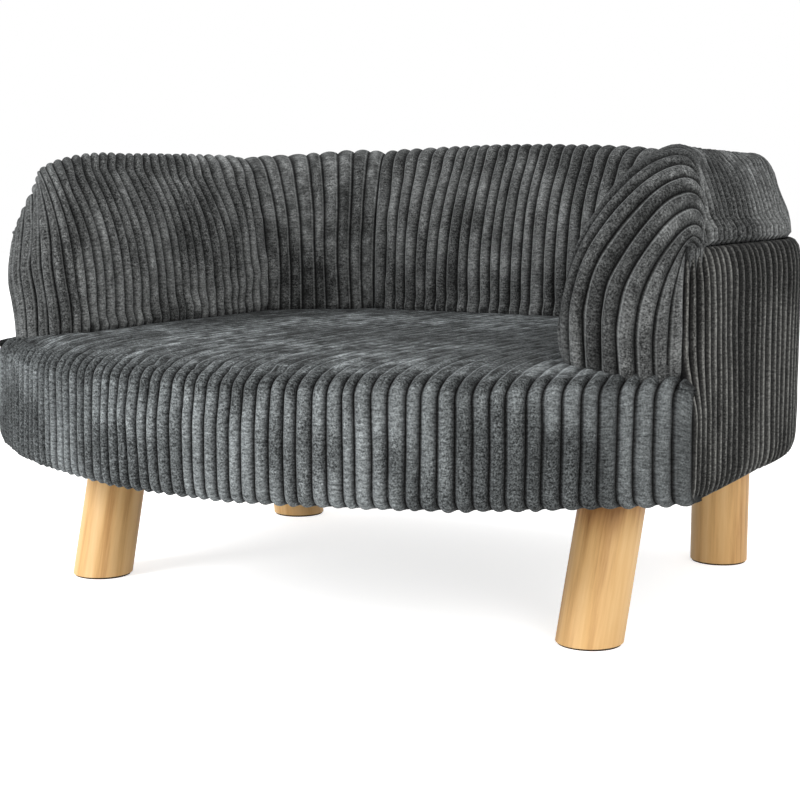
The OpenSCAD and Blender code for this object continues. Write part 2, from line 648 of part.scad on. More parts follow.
seat_cover();
seat_foam();
band_padding_strip();
front_apron();
base_board();
deck_board();
batten_left();
batten_middle();
batten_right();
arm_board_left();
arm_board_right();
corner_board_left();
corner_board_right();
back_board();
arm_bolster_left();
arm_bolster_right();
corner_bolster_left();
corner_bolster_right();
color(fabric_tone) back_bolster();
side_panel_left();
side_panel_right();
color(fabric_tone) rear_panel();
dust_cover();
leg_front_left();
leg_front_right();
leg_rear_left();
leg_rear_right();
foot_pad_front_left();
foot_pad_front_right();
foot_pad_rear_left();
foot_pad_rear_right();
leg_bolts();
insert_nuts();
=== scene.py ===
import math
import bpy
import numpy as np
from mathutils import Matrix, Vector


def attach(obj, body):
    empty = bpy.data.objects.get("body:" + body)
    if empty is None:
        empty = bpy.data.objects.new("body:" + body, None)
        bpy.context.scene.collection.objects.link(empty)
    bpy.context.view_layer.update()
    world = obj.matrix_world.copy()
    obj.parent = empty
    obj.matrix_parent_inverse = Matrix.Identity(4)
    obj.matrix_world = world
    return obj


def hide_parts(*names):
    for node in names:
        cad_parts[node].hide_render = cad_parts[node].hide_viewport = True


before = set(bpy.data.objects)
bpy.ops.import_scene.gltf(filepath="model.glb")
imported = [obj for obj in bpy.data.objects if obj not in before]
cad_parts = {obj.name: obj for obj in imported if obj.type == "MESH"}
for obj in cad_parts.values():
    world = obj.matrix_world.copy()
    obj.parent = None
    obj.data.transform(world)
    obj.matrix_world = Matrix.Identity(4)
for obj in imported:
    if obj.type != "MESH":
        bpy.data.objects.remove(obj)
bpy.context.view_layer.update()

print("frame loaded")

# The bed's main sizes in metres, as the solids have them
bed = {
    "halfWidth": 0.2795, "halfDepth": 0.2555, "frontBow": 0.130, "bowPower": 2.2,
    "arcRadius": 0.175, "innerX": 0.1905, "innerY": 0.1665,
    "creaseSide": (0.1905, 0.1155), "creaseBack": (0.1155, 0.1665),
    "creaseSideAngle": 25.0, "creaseBackAngle": 78.0,
    "seatHeight": 0.190, "footHeight": 0.1903, "seamHeight": 0.262,
    "armHeight": 0.324, "backHeight": 0.330, "baseHeight": 0.103,
    "frameInset": 0.0159, "noseY": -0.1585,
}
cornerY = -bed["halfDepth"] + bed["frontBow"]
arcX = bed["halfWidth"] - bed["arcRadius"]
arcY = bed["halfDepth"] - bed["arcRadius"]


# shared maths
def blend(a, b, t):  # a + (b - a) t
    return a + (b - a) * t


def ease(t):  # 3t^2 - 2t^3 between 0 and 1
    t = np.clip(t, 0, 1)
    return t * t * (3 - 2 * t)


def roundIn(t):  # 1 - sqrt(1 - t^2): how far a quarter circle has drawn in at t
    return 1 - np.sqrt(1 - np.clip(t, 0, 1) ** 2)


def hermiteWeights(t):  # the four Catmull-Rom weights at the fraction t between two rows
    return (-0.5 * t**3 + t**2 - 0.5 * t, 1.5 * t**3 - 2.5 * t**2 + 1,
            -1.5 * t**3 + 2 * t**2 + 0.5 * t, 0.5 * t**3 - 0.5 * t**2)


def sampleGrid(grid, i, j, loop=False):
    # Smooth lookup: weighted sum of the 4 x 4 grid points round (i, j)
    rows, cols = grid.shape[:2]
    i = np.clip(i, 0, rows - 1)
    i0 = np.clip(np.floor(i), 0, rows - 2).astype(int)
    j = np.mod(j, cols) if loop else np.clip(j, 0, cols - 1)
    j0 = np.floor(j).astype(int) if loop else np.clip(np.floor(j), 0, cols - 2).astype(int)
    wi, wj = hermiteWeights(i - i0), hermiteWeights(j - j0)
    total = 0
    for a in range(4):
        ia = np.clip(i0 + a - 1, 0, rows - 1)
        for b in range(4):
            jb = np.mod(j0 + b - 1, cols) if loop else np.clip(j0 + b - 1, 0, cols - 1)
            w = wi[a] * wj[b]
            total = total + grid[ia, jb] * (w[..., None] if grid.ndim == 3 else w)
    return total


def softNoise(u, v, cellU, cellV, seed):
    # Random values on a lattice of cellU x cellV, joined smoothly; about -1 to 1
    rng = np.random.default_rng(seed)
    gu, gv = (u - u.min()) / cellU + 1, (v - v.min()) / cellV + 1
    lattice = rng.uniform(-1, 1, (int(gu.max()) + 4, int(gv.max()) + 4))
    return sampleGrid(lattice, gu, gv)


def pathRun(path):
    # Length from the start of a polyline to each of its corners, the sum of the steps before it
    return np.concatenate([[0], np.cumsum(np.linalg.norm(np.diff(path, axis=0), axis=1))])


def resample(values, run, at):
    # Values known at the lengths of run, read off at other lengths, straight in between
    return np.stack([np.interp(at, run, values[:, k]) for k in range(values.shape[1])], -1)


def gridNormals(points, loop):
    # Unit cross product of the two directions of the grid
    du = np.gradient(points, axis=0)
    dv = ((np.roll(points, -1, 1) - np.roll(points, 1, 1)) / 2 if loop
          else np.gradient(points, axis=1))
    n = np.cross(du, dv)
    return n / np.maximum(np.linalg.norm(n, axis=-1, keepdims=True), 1e-9)


def gridFaces(rows, cols, loop):
    # Four corners of every cell, as vertex numbers
    i, j = np.meshgrid(np.arange(rows - 1), np.arange(cols if loop else cols - 1), indexing="ij")
    k = (j + 1) % cols
    quads = np.stack([i * cols + j, (i + 1) * cols + j, (i + 1) * cols + k, i * cols + k], -1)
    return quads.reshape(-1, 4)


def endFans(rows, cols):
    # Triangles from the first and last rings of a grid to a middle point each, which follow it
    ring, last = np.arange(cols), rows * cols
    turned = np.roll(ring, -1)
    return [np.stack([ring, turned, np.full(cols, last)], -1),
            np.stack([turned + last - cols, ring + last - cols, np.full(cols, last + 1)], -1)]


def newMesh(name, points, faceSets, flip=False):
    # Smooth faces of any number of corners, turned round where flip is set
    corners = [f[:, ::-1] if flip else f for f in faceSets]
    mesh = bpy.data.meshes.new(name)
    mesh.vertices.add(len(points))
    mesh.vertices.foreach_set("co", np.ascontiguousarray(points, dtype=np.float32).ravel())
    mesh.loops.add(sum(f.size for f in corners))
    mesh.loops.foreach_set("vertex_index",
                           np.concatenate([f.ravel() for f in corners]).astype(np.int32))
    counts = np.concatenate([np.full(len(f), f.shape[1]) for f in corners])
    mesh.polygons.add(len(counts))
    mesh.polygons.foreach_set("loop_start", (np.cumsum(counts) - counts).astype(np.int32))
    mesh.update(calc_edges=True)
    mesh.polygons.foreach_set("use_smooth", np.ones(len(counts), dtype=bool))
    return mesh


def addObject(name, data):
    made = bpy.data.objects.new(name, data)
    bpy.context.scene.collection.objects.link(made)
    return made


def addPiece(name, mesh, nodes, material):
    piece = addObject(name, mesh)
    mesh.materials.append(material)
    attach(piece, "root")
    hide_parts(*nodes)
    return piece


def setAttribute(mesh, name, values):
    mesh.attributes.new(name, "FLOAT", "POINT").data.foreach_set(
        "value", np.ascontiguousarray(values, dtype=np.float32).ravel())


# padding under pressure
clothSettings = {"frames": 20, "quality": 5, "tension": 12.0, "bending": 1.2, "mass": 0.3,
                 "slide": 0.2}


def inflate(label, grid, held, pressure, cap):
    # A closed cage of the padding is blown up as cloth with its seams held. Most of the slide
    # along the surface is left out, so that the ribs keep their lines, and no point may go
    # further than the cap: new = old + move * min(1, cap / |move|)
    rows, cols = grid.shape[:2]
    middle = np.stack([grid[0].mean(0), grid[-1].mean(0)])
    points = np.concatenate([grid.reshape(-1, 3), middle])
    mesh = newMesh(label, points, [gridFaces(rows, cols, True)] + endFans(rows, cols), True)
    cage = addObject(label, mesh)
    chosen = np.nonzero(np.concatenate([held.ravel(), [1, 1]]))[0]
    cage.vertex_groups.new(name="held").add([int(v) for v in chosen], 1.0, "REPLACE")
    cloth = cage.modifiers.new("cloth", "CLOTH")
    s = cloth.settings
    s.quality = clothSettings["quality"]
    s.mass = clothSettings["mass"]
    s.tension_stiffness = s.compression_stiffness = s.shear_stiffness = clothSettings["tension"]
    s.bending_stiffness = clothSettings["bending"]
    s.vertex_group_mass = "held"
    s.use_pressure = True
    s.uniform_pressure_force = pressure
    s.effector_weights.gravity = 0
    cloth.collision_settings.use_collision = False
    cloth.point_cache.frame_start = 1
    cloth.point_cache.frame_end = clothSettings["frames"]
    scene = bpy.context.scene
    for frameNumber in range(1, clothSettings["frames"] + 1):
        scene.frame_set(frameNumber)
    shaped = cage.evaluated_get(bpy.context.evaluated_depsgraph_get()).to_mesh()
    moved = np.empty(len(points) * 3, dtype=np.float32)
    shaped.vertices.foreach_get("co", moved)
    bpy.data.objects.remove(cage)
    bpy.data.meshes.remove(mesh)
    scene.frame_set(1)
    move = moved.reshape(-1, 3)[:rows * cols].reshape(grid.shape) - grid
    normal = gridNormals(grid, True)
    outward = normal * (move * normal).sum(-1, keepdims=True)
    move = blend(outward, move, clothSettings["slide"])
    far = np.linalg.norm(move, axis=-1, keepdims=True)
    print(label, "swelled by up to", round(float(far.max()) * 1000, 1), "mm")
    return grid + move * np.minimum(1, cap / np.maximum(far, 1e-9))


# the ribbed cloth
ribSteps = np.array([0, 0.05, 0.12, 0.22, 0.34, 0.47, 0.6, 0.72, 0.83, 0.92])

# each noise has its cell's width across the ribs and length along them, in metres
ribCloth = {
    "swayCell": (0.03, 0.05), "fineSwayCell": (0.009, 0.018), "fineSwayShare": 0.2,
    "patchStretch": 1.6, "patchShare": 0.8, "smallPatch": (0.35, 0.6), "smallPatchShare": 0.5,
    "plumpCell": (0.02, 0.016), "plumpShare": 0.14, "layPress": 0.10, "lumpCell": (0.05, 0.06),
    "wornCell": (0.03, 0.045), "wornShare": 0.9, "leastWorn": 0.45, "crushedTone": 0.8,
    "widestShift": 0.22, "heightSpread": 0.09, "crowdRange": (0.12, 1.3),
}


def ribCoordinates(ribs, steps=ribSteps):
    # Whole number = edge of a rib, and the steps in between across each rib
    return np.concatenate([np.add.outer(np.arange(ribs), steps).ravel(), [ribs]])


def ribSide(a):  # from -1 at one edge of the rib to 1 at the other
    return 2 * (a - np.floor(a)) - 1


def ribProfile(a, root):  # height over the valley: (1 - side^2)^root
    return (1 - ribSide(a) ** 2) ** root


def lengthSteps(grid, gap, hidden, hiddenGap):
    # Fractional column numbers along the ribs, a gap apart, coarser where hidden
    step = np.linalg.norm(np.diff(grid, axis=1), axis=-1).mean(0)
    counts = np.maximum(1, np.round(step / np.where(hidden, hiddenGap, gap))).astype(int)
    return np.concatenate([k + np.arange(c) / c for k, c in enumerate(counts)] + [[len(counts)]])


def ribbedSurface(grid, ribs, cols, depth, pitch, cut, seed, values, loop=False, outward=1,
                  steps=ribSteps):
    # Point = smooth surface + outward normal * (depth * cut * (profile - sink) + lump), where
    # the ribs' edges wander sideways and each rib has its own width and height
    v = ribCloth
    rng = np.random.default_rng(seed)
    a = ribCoordinates(ribs, steps)
    shift = rng.normal(0, values["uneven"], ribs + 1).clip(-v["widestShift"], v["widestShift"])
    edges = np.arange(ribs + 1) + shift
    edges[[0, -1]] = 0, ribs
    across = np.interp(a, np.arange(ribs + 1), edges)
    ribAt, colAt = np.meshgrid(a, cols, indexing="ij")
    across = np.repeat(across[:, None], len(cols), 1)
    lengths = np.linalg.norm(np.diff(grid, axis=1), axis=-1).mean(0)
    run = np.interp(cols, np.arange(grid.shape[1] + (1 if loop else 0)),
                    np.concatenate([[0], np.cumsum(lengths),
                                    [lengths.sum() + 0.02] if loop else []]))
    sideways, lengthways = np.meshgrid(a * pitch, run, indexing="ij")

    def noise(cell, number):
        return softNoise(sideways, lengthways, *cell, seed + number)

    fade = np.minimum(1, np.minimum(ribAt, ribs - ribAt) / 2)
    sway = (noise(v["swayCell"], 1) * values["sway"]
            + noise(v["fineSwayCell"], 2) * values["sway"] * v["fineSwayShare"]) * fade
    rows = grid.shape[0] - 1
    smooth = sampleGrid(grid, (across + sway) * rows / ribs, colAt, loop)
    normal = gridNormals(smooth, False) * outward
    ribIndex = np.clip(np.floor(ribAt), 0, ribs - 1).astype(int)
    tall = 1 + rng.normal(0, v["heightSpread"], ribs)[ribIndex]
    patch, small = values["patch"], v["smallPatch"]
    lay = noise((patch, patch * v["patchStretch"]), 3) * v["patchShare"] \
        + noise((patch * small[0], patch * small[1]), 4) * v["smallPatchShare"]
    lay = np.tanh(values["layEdge"] * lay)
    plump = 1 + v["plumpShare"] * noise(v["plumpCell"], 5) - v["layPress"] * np.abs(lay)
    lump = noise(v["lumpCell"], 6) * values["lump"]
    profile = ribProfile(ribAt, values["root"])
    # ribs that crowd together are lower: depth * (local pitch / pitch)^crowd
    even = sampleGrid(grid, ribAt * rows / ribs, colAt, loop)
    local = np.linalg.norm(np.gradient(even, a, axis=0), axis=-1)
    crowded = cut * np.clip(local / pitch, *v["crowdRange"]) ** values["crowd"]
    share = (depth / depth.max())[None, :]
    lift = depth[None, :] * crowded * tall * plump * (profile - values["sink"])
    points = smooth + normal * (lift + lump * np.minimum(1, share))[..., None]
    # crush is 0 where the ribs stand full and 1 where they lie flat
    crush = 1 - np.minimum(1, np.repeat(share, len(a), 0) * cut)
    worn = np.clip(0.5 + v["wornShare"] * noise(v["wornCell"], 7), 0, 1)
    flat = (v["crushedTone"] - profile) * crush * values["crushed"]
    return points, normal, {"rib": profile + flat * blend(v["leastWorn"], 1.0, worn),
                            "side": ribSide(ribAt), "lay": lay, "crush": crush,
                            "tone": rng.normal(0, 1, ribs)[ribIndex],
                            "across": sideways, "along": lengthways}


def closedPiece(name, points, extras, flip):
    # The grid is a closed ring along every rib, and a fan of faces closes each end
    rows, cols = points.shape[:2]
    flat = np.concatenate([points.reshape(-1, 3), [points[0].mean(0), points[-1].mean(0)]])
    mesh = newMesh(name, flat, [gridFaces(rows, cols, True)] + endFans(rows, cols), flip)
    for key, value in extras.items():
        setAttribute(mesh, key, np.concatenate([value.ravel(), [value[0].mean(), value[-1].mean()]]))
    return mesh


# materials
def treeTools(tree):
    # Short ways to add a node, join two, do a sum and read a ramp of colours
    def node(kind, **settings):  # each setting is an input's value, or else a property
        made = tree.nodes.new(kind)
        for key, value in settings.items():
            if key in made.inputs:
                made.inputs[key].default_value = value
            else:
                setattr(made, key, value)
        return made

    def link(source, target):
        tree.links.new(source, target)

    def maths(operation, first, second=0.5, third=None):
        made = tree.nodes.new("ShaderNodeMath")
        made.operation = operation
        for k, value in enumerate((first, second, third)):
            if value is None:
                continue
            if isinstance(value, (int, float)):
                made.inputs[k].default_value = value
            else:
                link(value, made.inputs[k])
        return made.outputs[0]

    def ramp(factor, stops):
        made = tree.nodes.new("ShaderNodeValToRGB")
        while len(made.color_ramp.elements) < len(stops):
            made.color_ramp.elements.new(0.5)
        for element, (place, colour) in zip(made.color_ramp.elements, stops):
            element.position = place
            element.color = (*colour, 1)
        link(factor, made.inputs[0])
        return made.outputs[0]

    return node, link, maths, ramp


def startMaterial(name):
    material = bpy.data.materials.new(name)
    material.use_nodes = True
    tree = material.node_tree
    return (material, tree.nodes["Principled BSDF"], *treeTools(tree))


def setInputs(target, values):  # several inputs of one node
    for key, value in values.items():
        target.inputs[key].default_value = value


def addBump(node, link, height, strength, distance, target):  # height moves the target's normal
    made = node("ShaderNodeBump", Strength=strength, Distance=distance)
    link(height, made.inputs["Height"])
    link(made.outputs["Normal"], target.inputs["Normal"])
    return made


def scaleColour(node, link, colour, factor):
    # colour * factor, the factor the same for red, green and blue
    made = node("ShaderNodeVectorMath", operation="SCALE")
    link(colour, made.inputs[0])
    link(factor, made.inputs["Scale"])
    return made.outputs[0]


def plush(name, v):
    # Colour = tone by height on the rib * (lay * cloud * rib tone * pile * combed streaks
    # * crushed streaks + a painted highlight along one edge of the rib). The tone by height is
    # painted shade, darkest in the valleys between the ribs, and a tilt across the rib paints one
    # side of it lighter and the other darker
    material, shader, node, link, maths, ramp = startMaterial(name)
    read = {key: node("ShaderNodeAttribute", attribute_name=key).outputs["Fac"]
            for key in ("rib", "side", "lay", "tone", "crush", "across", "along")}

    def streaks(acrossScale, alongScale, detail):
        place = node("ShaderNodeCombineXYZ")
        link(maths("MULTIPLY", read["across"], acrossScale), place.inputs[0])
        link(maths("MULTIPLY", read["along"], alongScale), place.inputs[1])
        made = node("ShaderNodeTexNoise", Scale=1.0, Detail=detail, Roughness=0.6)
        link(place.outputs[0], made.inputs["Vector"])
        return made.outputs["Fac"]

    def vary(source, share):
        return maths("MULTIPLY_ADD", maths("SUBTRACT", source, 0.5), share, 1.0)

    pile = node("ShaderNodeTexNoise", Scale=v["pileScale"], Detail=3.0, Roughness=0.7)
    cloud = node("ShaderNodeTexNoise", Scale=v["cloudScale"], Detail=5.0, Roughness=0.6, Distortion=0.4)
    for texture in (pile, cloud):
        link(node("ShaderNodeTexCoord").outputs["Object"], texture.inputs["Vector"])
    comb = streaks(*v["comb"], 2.0)
    crushed = streaks(*v["crushed"], 3.0)
    flecks = streaks(*v["flecks"], 2.0)
    pressed = maths("ADD", maths("MULTIPLY", maths("SUBTRACT", crushed, 0.5), v["crushShare"]),
                    maths("MULTIPLY", maths("SUBTRACT", flecks, 0.5), v["fleckShare"]))
    # the pile shows less where it is laid towards the light
    laidPile = maths("MULTIPLY_ADD", read["lay"], v["pileShare"] * v["layPile"], v["pileShare"])
    speckle = maths("MULTIPLY", maths("SUBTRACT", pile.outputs["Fac"], 0.5), laidPile)
    factor = maths("MULTIPLY_ADD", read["lay"], v["layShare"], 1.0)
    for part in (vary(cloud.outputs["Fac"], v["cloudShare"]),
                 maths("MULTIPLY_ADD", read["tone"], v["toneShare"], 1.0),
                 maths("MAXIMUM", maths("ADD", speckle, 1.0), v["darkest"]),
                 maths("MAXIMUM", vary(comb, v["combShare"]), v["darkest"]),
                 maths("MAXIMUM", maths("MULTIPLY_ADD", pressed, read["crush"], 1.0), v["darkestCrushed"]),
                 maths("MULTIPLY_ADD", read["crush"], v["crushShade"], 1.0)):
        factor = maths("MULTIPLY", factor, part)
    # the painted highlight's strength: 1 - |(side + lineAt) * lineSharp|, not under 0
    fromLine = maths("MULTIPLY", maths("ADD", read["side"], v["lineAt"]), v["lineSharp"])
    paintedHighlight = maths("MAXIMUM", maths("SUBTRACT", 1.0, maths("ABSOLUTE", fromLine)), 0.0)
    # the painted highlight is palest where the rib is half crushed: share + 4 crush (1 - crush) * fold
    fold = maths("MULTIPLY", read["crush"], maths("SUBTRACT", 1.0, read["crush"]))
    highlightTone = maths("MULTIPLY", comb, maths("MULTIPLY_ADD", fold, 4 * v["foldShare"], v["lineShare"]))
    # painted shade: the ramp darkens the colour from the crown down to the valley, and the tilt by side
    # paints one flank lighter and the other darker
    height = maths("MULTIPLY_ADD", read["side"], v["sideLightTilt"], read["rib"])
    body = ramp(height, [(v["dark"][0], v["valley"]), (v["dark"][1], v["flank"]), (0.88, v["crown"])])
    factor = maths("ADD", factor, maths("MULTIPLY", paintedHighlight, highlightTone))
    link(scaleColour(node, link, body, maths("MAXIMUM", factor, 0.05)), shader.inputs["Base Color"])
    setInputs(shader, {"Roughness": 0.95, "Specular IOR Level": 0.15, "Sheen Weight": v["sheen"],
                       "Sheen Roughness": 0.45, "Sheen Tint": (*v["sheenTint"], 1)})
    bumpPile = addBump(node, link, pile.outputs["Fac"], v["pileBump"], 0.0010, shader)
    addBump(node, link, comb, v["combBump"], 0.0014, bumpPile)
    return material


plushValues = {
    # streaks per metre across and along the ribs
    "comb": (230.0, 620.0), "crushed": (100.0, 36.0), "flecks": (120.0, 95.0),
    "pileScale": 800.0, "cloudScale": 24.0, "pileBump": 0.9, "combBump": 0.7,
    # the valley and flank colours are painted shade in the hollows between the ribs
    "valley": (0.008, 0.008, 0.008), "flank": (0.052, 0.056, 0.058), "crown": (0.104, 0.113, 0.116),
    "dark": (0.12, 0.5), "darkest": 0.2, "darkestCrushed": 0.25, "sideLightTilt": 0.0,
    # how strongly each pattern changes the colour
    "layShare": 0.42, "cloudShare": 1.3, "toneShare": 0.07, "pileShare": 5.2, "layPile": -0.4,
    "combShare": 2.6, "crushShare": 6.0, "crushShade": -0.30, "fleckShare": 4.5,
    # lineAt, lineSharp, lineShare and foldShare place and weigh a painted highlight along one edge of each
    # rib
    "lineAt": 0.70, "lineSharp": 6.0, "lineShare": 1.3, "foldShare": 3.0,
    "sheen": 0.12, "sheenTint": (0.62, 0.66, 0.67),
}
seatPlush = plush("Ribbed plush of the seat", {
    **plushValues, "sheen": 0.06, "crown": (0.114, 0.124, 0.127)})
wallPlush = plush("Ribbed plush of the wall", {
    **plushValues, "crown": (0.105, 0.109, 0.109), "flank": (0.047, 0.049, 0.049)})
# the outer fabric's tilt paints light on one side of each rib and shade on the other
panelPlush = plush("Ribbed plush of the outside", {
    **plushValues, "dark": (0.2, 0.72), "crown": (0.108, 0.109, 0.104),
    "flank": (0.030, 0.030, 0.029), "valley": (0.004, 0.004, 0.004), "sideLightTilt": 0.36, "sheen": 0.05})


def wood(name, axis, v):
    # Colour = ramp of (rings + fibre + broad noise), each times its share, less a painted shade
    # at the top where the bed's base shades the leg. The rings lie round the tree's heart, off to
    # one side, and all is drawn out along the leg's axis
    material, shader, node, link, maths, ramp = startMaterial(name)
    place = node("ShaderNodeTexCoord").outputs["Object"]
    turn = node("ShaderNodeMapping", Rotation=axis.rotation_difference(Vector((0, 0, 1))).to_euler())
    link(place, turn.inputs["Vector"])
    stretch = node("ShaderNodeMapping", Scale=(1, 1, v["stretch"]), Location=v["offset"])
    link(turn.outputs[0], stretch.inputs["Vector"])
    rings = node("ShaderNodeTexWave", Scale=v["ringScale"], Distortion=v["ringBend"], Detail=3.0,
                 wave_type="RINGS", rings_direction="Z")
    fibre = node("ShaderNodeTexNoise", Scale=v["fibreScale"], Detail=6.0, Roughness=0.65)
    broad = node("ShaderNodeTexNoise", Scale=v["broadScale"], Detail=3.0)
    for texture in (rings, fibre, broad):
        link(stretch.outputs[0], texture.inputs["Vector"])
    grain = maths("ADD", maths("MULTIPLY", rings.outputs["Fac"], v["ringShare"]),
                  maths("MULTIPLY", fibre.outputs["Fac"], v["fibreShare"]))
    grain = maths("ADD", grain, maths("MULTIPLY", broad.outputs["Fac"], v["broadShare"]))
    # painted shade under the bed's base: the wood is darker towards its top, grain - top shade * t^2, with
    # t from 0 at shadeFrom
    height = node("ShaderNodeSeparateXYZ")
    link(place, height.inputs[0])
    rise = maths("MULTIPLY", maths("SUBTRACT", height.outputs["Z"], v["shadeFrom"]), 1 / v["shadeRun"])
    shade = maths("MULTIPLY", maths("POWER", maths("MAXIMUM", rise, 0.0), 2.0), v["paintedTopShade"])
    link(ramp(maths("SUBTRACT", grain, shade), v["stops"]), shader.inputs["Base Color"])
    setInputs(shader, {"Roughness": 0.48, "Specular IOR Level": 0.35})
    addBump(node, link, fibre.outputs["Fac"], 0.15, 0.0006, shader)
    return material


legValues = {
    "stretch": 0.05, "offset": (0.13, 0.05, 0.0), "ringScale": 24.0, "ringBend": 5.0,
    "fibreScale": 260.0, "broadScale": 28.0, "ringShare": 0.12, "fibreShare": 0.55, "broadShare": 0.48,
    # painted shade at the top of each leg, under the base
    "shadeFrom": 0.062, "shadeRun": 0.040, "paintedTopShade": 0.60,
    "stops": [(0.25, (0.30, 0.14, 0.045)), (0.42, (0.55, 0.30, 0.11)), (0.56, (0.72, 0.44, 0.18)),
              (0.8, (0.84, 0.57, 0.28))],
}


def plainFinish(name, low, high, scale, roughness, metallic=0.0, stretch=(1, 1, 1)):
    # Colour between low and high by noise, with the same noise as a fine bump
    material, shader, node, link, maths, ramp = startMaterial(name)
    place = node("ShaderNodeTexCoord").outputs["Object"]
    scaled = node("ShaderNodeMapping", Scale=stretch)
    link(place, scaled.inputs["Vector"])
    grain = node("ShaderNodeTexNoise", Scale=scale, Detail=6.0, Roughness=0.65)
    link(scaled.outputs[0], grain.inputs["Vector"])
    link(ramp(grain.outputs["Fac"], [(0.3, low), (0.7, high)]), shader.inputs["Base Color"])
    setInputs(shader, {"Roughness": roughness, "Metallic": metallic})
    addBump(node, link, grain.outputs["Fac"], 0.4, 0.0004, shader)
    return material


blackCloth = plainFinish("Black base cloth", (0.006, 0.006, 0.006), (0.02, 0.02, 0.02), 700.0, 0.9)
print("materials made")

# camera
camera = {"place": (0.61547, -1.11030, 0.30203), "azimuth": 28.854, "pitch": 7.394, "roll": 0.103,
          "lens": 75.50}


def placeCamera():
    # It looks along the azimuth, 0 along +y, tipped down by the pitch and turned by the roll
    azimuth, pitch, roll = (math.radians(camera[k]) for k in ("azimuth", "pitch", "roll"))
    ahead = Vector((-math.sin(azimuth) * math.cos(pitch), math.cos(azimuth) * math.cos(pitch),
                    -math.sin(pitch)))
    level = Vector((math.cos(azimuth), math.sin(azimuth), 0))
    above = level.cross(ahead)
    right = level * math.cos(roll) + above * math.sin(roll)
    up = above * math.cos(roll) - level * math.sin(roll)
    data = bpy.data.cameras.new("camera")
    data.lens, data.sensor_width = camera["lens"], 36
    made = addObject("camera", data)
    turned = Matrix((right, up, -ahead)).transposed().to_4x4()
    made.matrix_world = Matrix.Translation(camera["place"]) @ turned
    bpy.context.scene.camera = made


placeCamera()

# the wall's padding
wall = {
    # the ribs: uneven and sway in ribs, patch and lump in metres, depthShare of the pitch
    "uneven": 0.055, "sway": 0.09, "patch": 0.045, "layEdge": 3.5, "lump": 0.0012, "root": 0.78,
    "crowd": 1, "crushed": 0, "sink": 0.5, "depthShare": 0.42, "crestLoss": 0.45, "outerDepth": 1.3,
    # the next three values paint light: on faces towards +x standing for the pile's nap, on the whole
    # outer side, and on one edge of each outer rib
    "napAndSideLight": 0.30, "outerSideLight": 0.12, "outerSideLightTilt": 0.30, "pressure": 3.0, "cap": 0.0035,
    # shares of the thickness from the outside, and of the height over the seat or seam
    "inner": [(0.985, 0.0), (0.994, 0.035), (0.999, 0.09), (1.003, 0.17), (1.0, 0.25), (0.992, 0.33),
              (0.965, 0.46), (0.94, 0.54), (0.905, 0.62), (0.865, 0.69), (0.815, 0.762), (0.755, 0.832),
              (0.685, 0.9), (0.61, 0.952), (0.53, 0.985), (0.45, 1.0)],
    "outer": [(0.37, 0.985), (0.30, 0.93), (0.24, 0.83), (0.193, 0.7), (0.153, 0.54), (0.124, 0.38),
              (0.105, 0.22), (0.098, 0.09), (0.108, 0.015)],
    "inside": [(0.185, 0.0), (0.19, -0.25), (0.19, -0.8), (0.21, -1.0), (0.45, -1.0), (0.7, -1.0),
               (0.9, -1.0)],
}


def wallSections(outer, inner, top, seam, pullIn=0.0, paths=None, shoulder=0.0, low=None):
    # Plan point = inner + (outer - inner) * t, with t the share's rest, or what paths makes of
    # it. Height = foot + (top - foot) * share on the inner side, seam + (top - seam) * share on
    # the outer one, and under the seam inside. pullIn draws the section in, shoulder rounds the
    # outer side: share - shoulder * sin(pi share), and low is a lower foot for the inner side
    count = len(outer)
    pullIn, top = np.broadcast_to(pullIn, count), np.broadcast_to(top, count)
    shares = np.array(wall["inner"] + wall["outer"] + wall["inside"])
    number = np.arange(len(shares))
    nIn, nOut = len(wall["inner"]), len(wall["outer"])
    u = np.repeat(shares[None, :, 0], count, 0)
    span = np.linalg.norm(inner - outer, axis=1)
    draw = (pullIn / np.maximum(span, 1e-4))[:, None]
    u = np.where(u > 0.5, u - draw * ease((u - 0.5) / 0.35), u)
    h = np.repeat(shares[None, :, 1], count, 0)
    top, foot = (top - pullIn)[:, None], bed["footHeight"]
    start = foot if low is None else low[:, None]
    rounded = h - shoulder * np.sin(np.pi * np.clip(h, 0, 1))
    z = np.where(number < nIn, start + (top - start) * h,
                 np.where(number < nIn + nOut, seam + (top - seam) * rounded, seam + (seam - foot) * h))
    shareX, shareY = paths(1 - u, z) if paths else (1 - u, 1 - u)
    x = inner[:, None, 0] + (outer - inner)[:, None, 0] * shareX
    y = inner[:, None, 1] + (outer - inner)[:, None, 1] * shareY
    return np.stack([x, y, z], -1)


# the seat's front edge: depth and height of its round, the slope behind it, and how steeply
# the seam at its ends goes back inwards
frontEdge = {"run": 0.015, "radius": 0.0135, "slope": 0.005, "slopeAtArms": 0.0065,
             "armsFrom": 0.12, "armsRun": 0.12, "fall": 0.022, "seamSlope": 0.9}


def frontY(x):  # -halfDepth + bow (|x| / halfWidth)^power
    return -bed["halfDepth"] + bed["frontBow"] * (np.abs(x) / bed["halfWidth"]) ** bed["bowPower"]


def frontSkew(x):  # sqrt(1 + slope^2) of the front line
    slope = bed["frontBow"] * bed["bowPower"] / bed["halfWidth"] \
        * (np.abs(x) / bed["halfWidth"]) ** (bed["bowPower"] - 1)
    return np.sqrt(1 + slope ** 2)


def frontDrop(x):  # the slope's height, more beside the arms
    toArms = ease((np.abs(x) - frontEdge["armsFrom"]) / frontEdge["armsRun"])
    return blend(frontEdge["slope"], frontEdge["slopeAtArms"], toArms)


def seatTop(x, y):
    # Seat height less a slope that dies away behind the front, e^(-d / fall), and the round
    d = (y - frontY(x)) / frontSkew(x)
    slope = frontDrop(x) * np.exp(-np.clip(d - frontEdge["run"], 0, None) / frontEdge["fall"])
    return bed["seatHeight"] - slope - frontEdge["radius"] * roundIn(1 - d / frontEdge["run"])


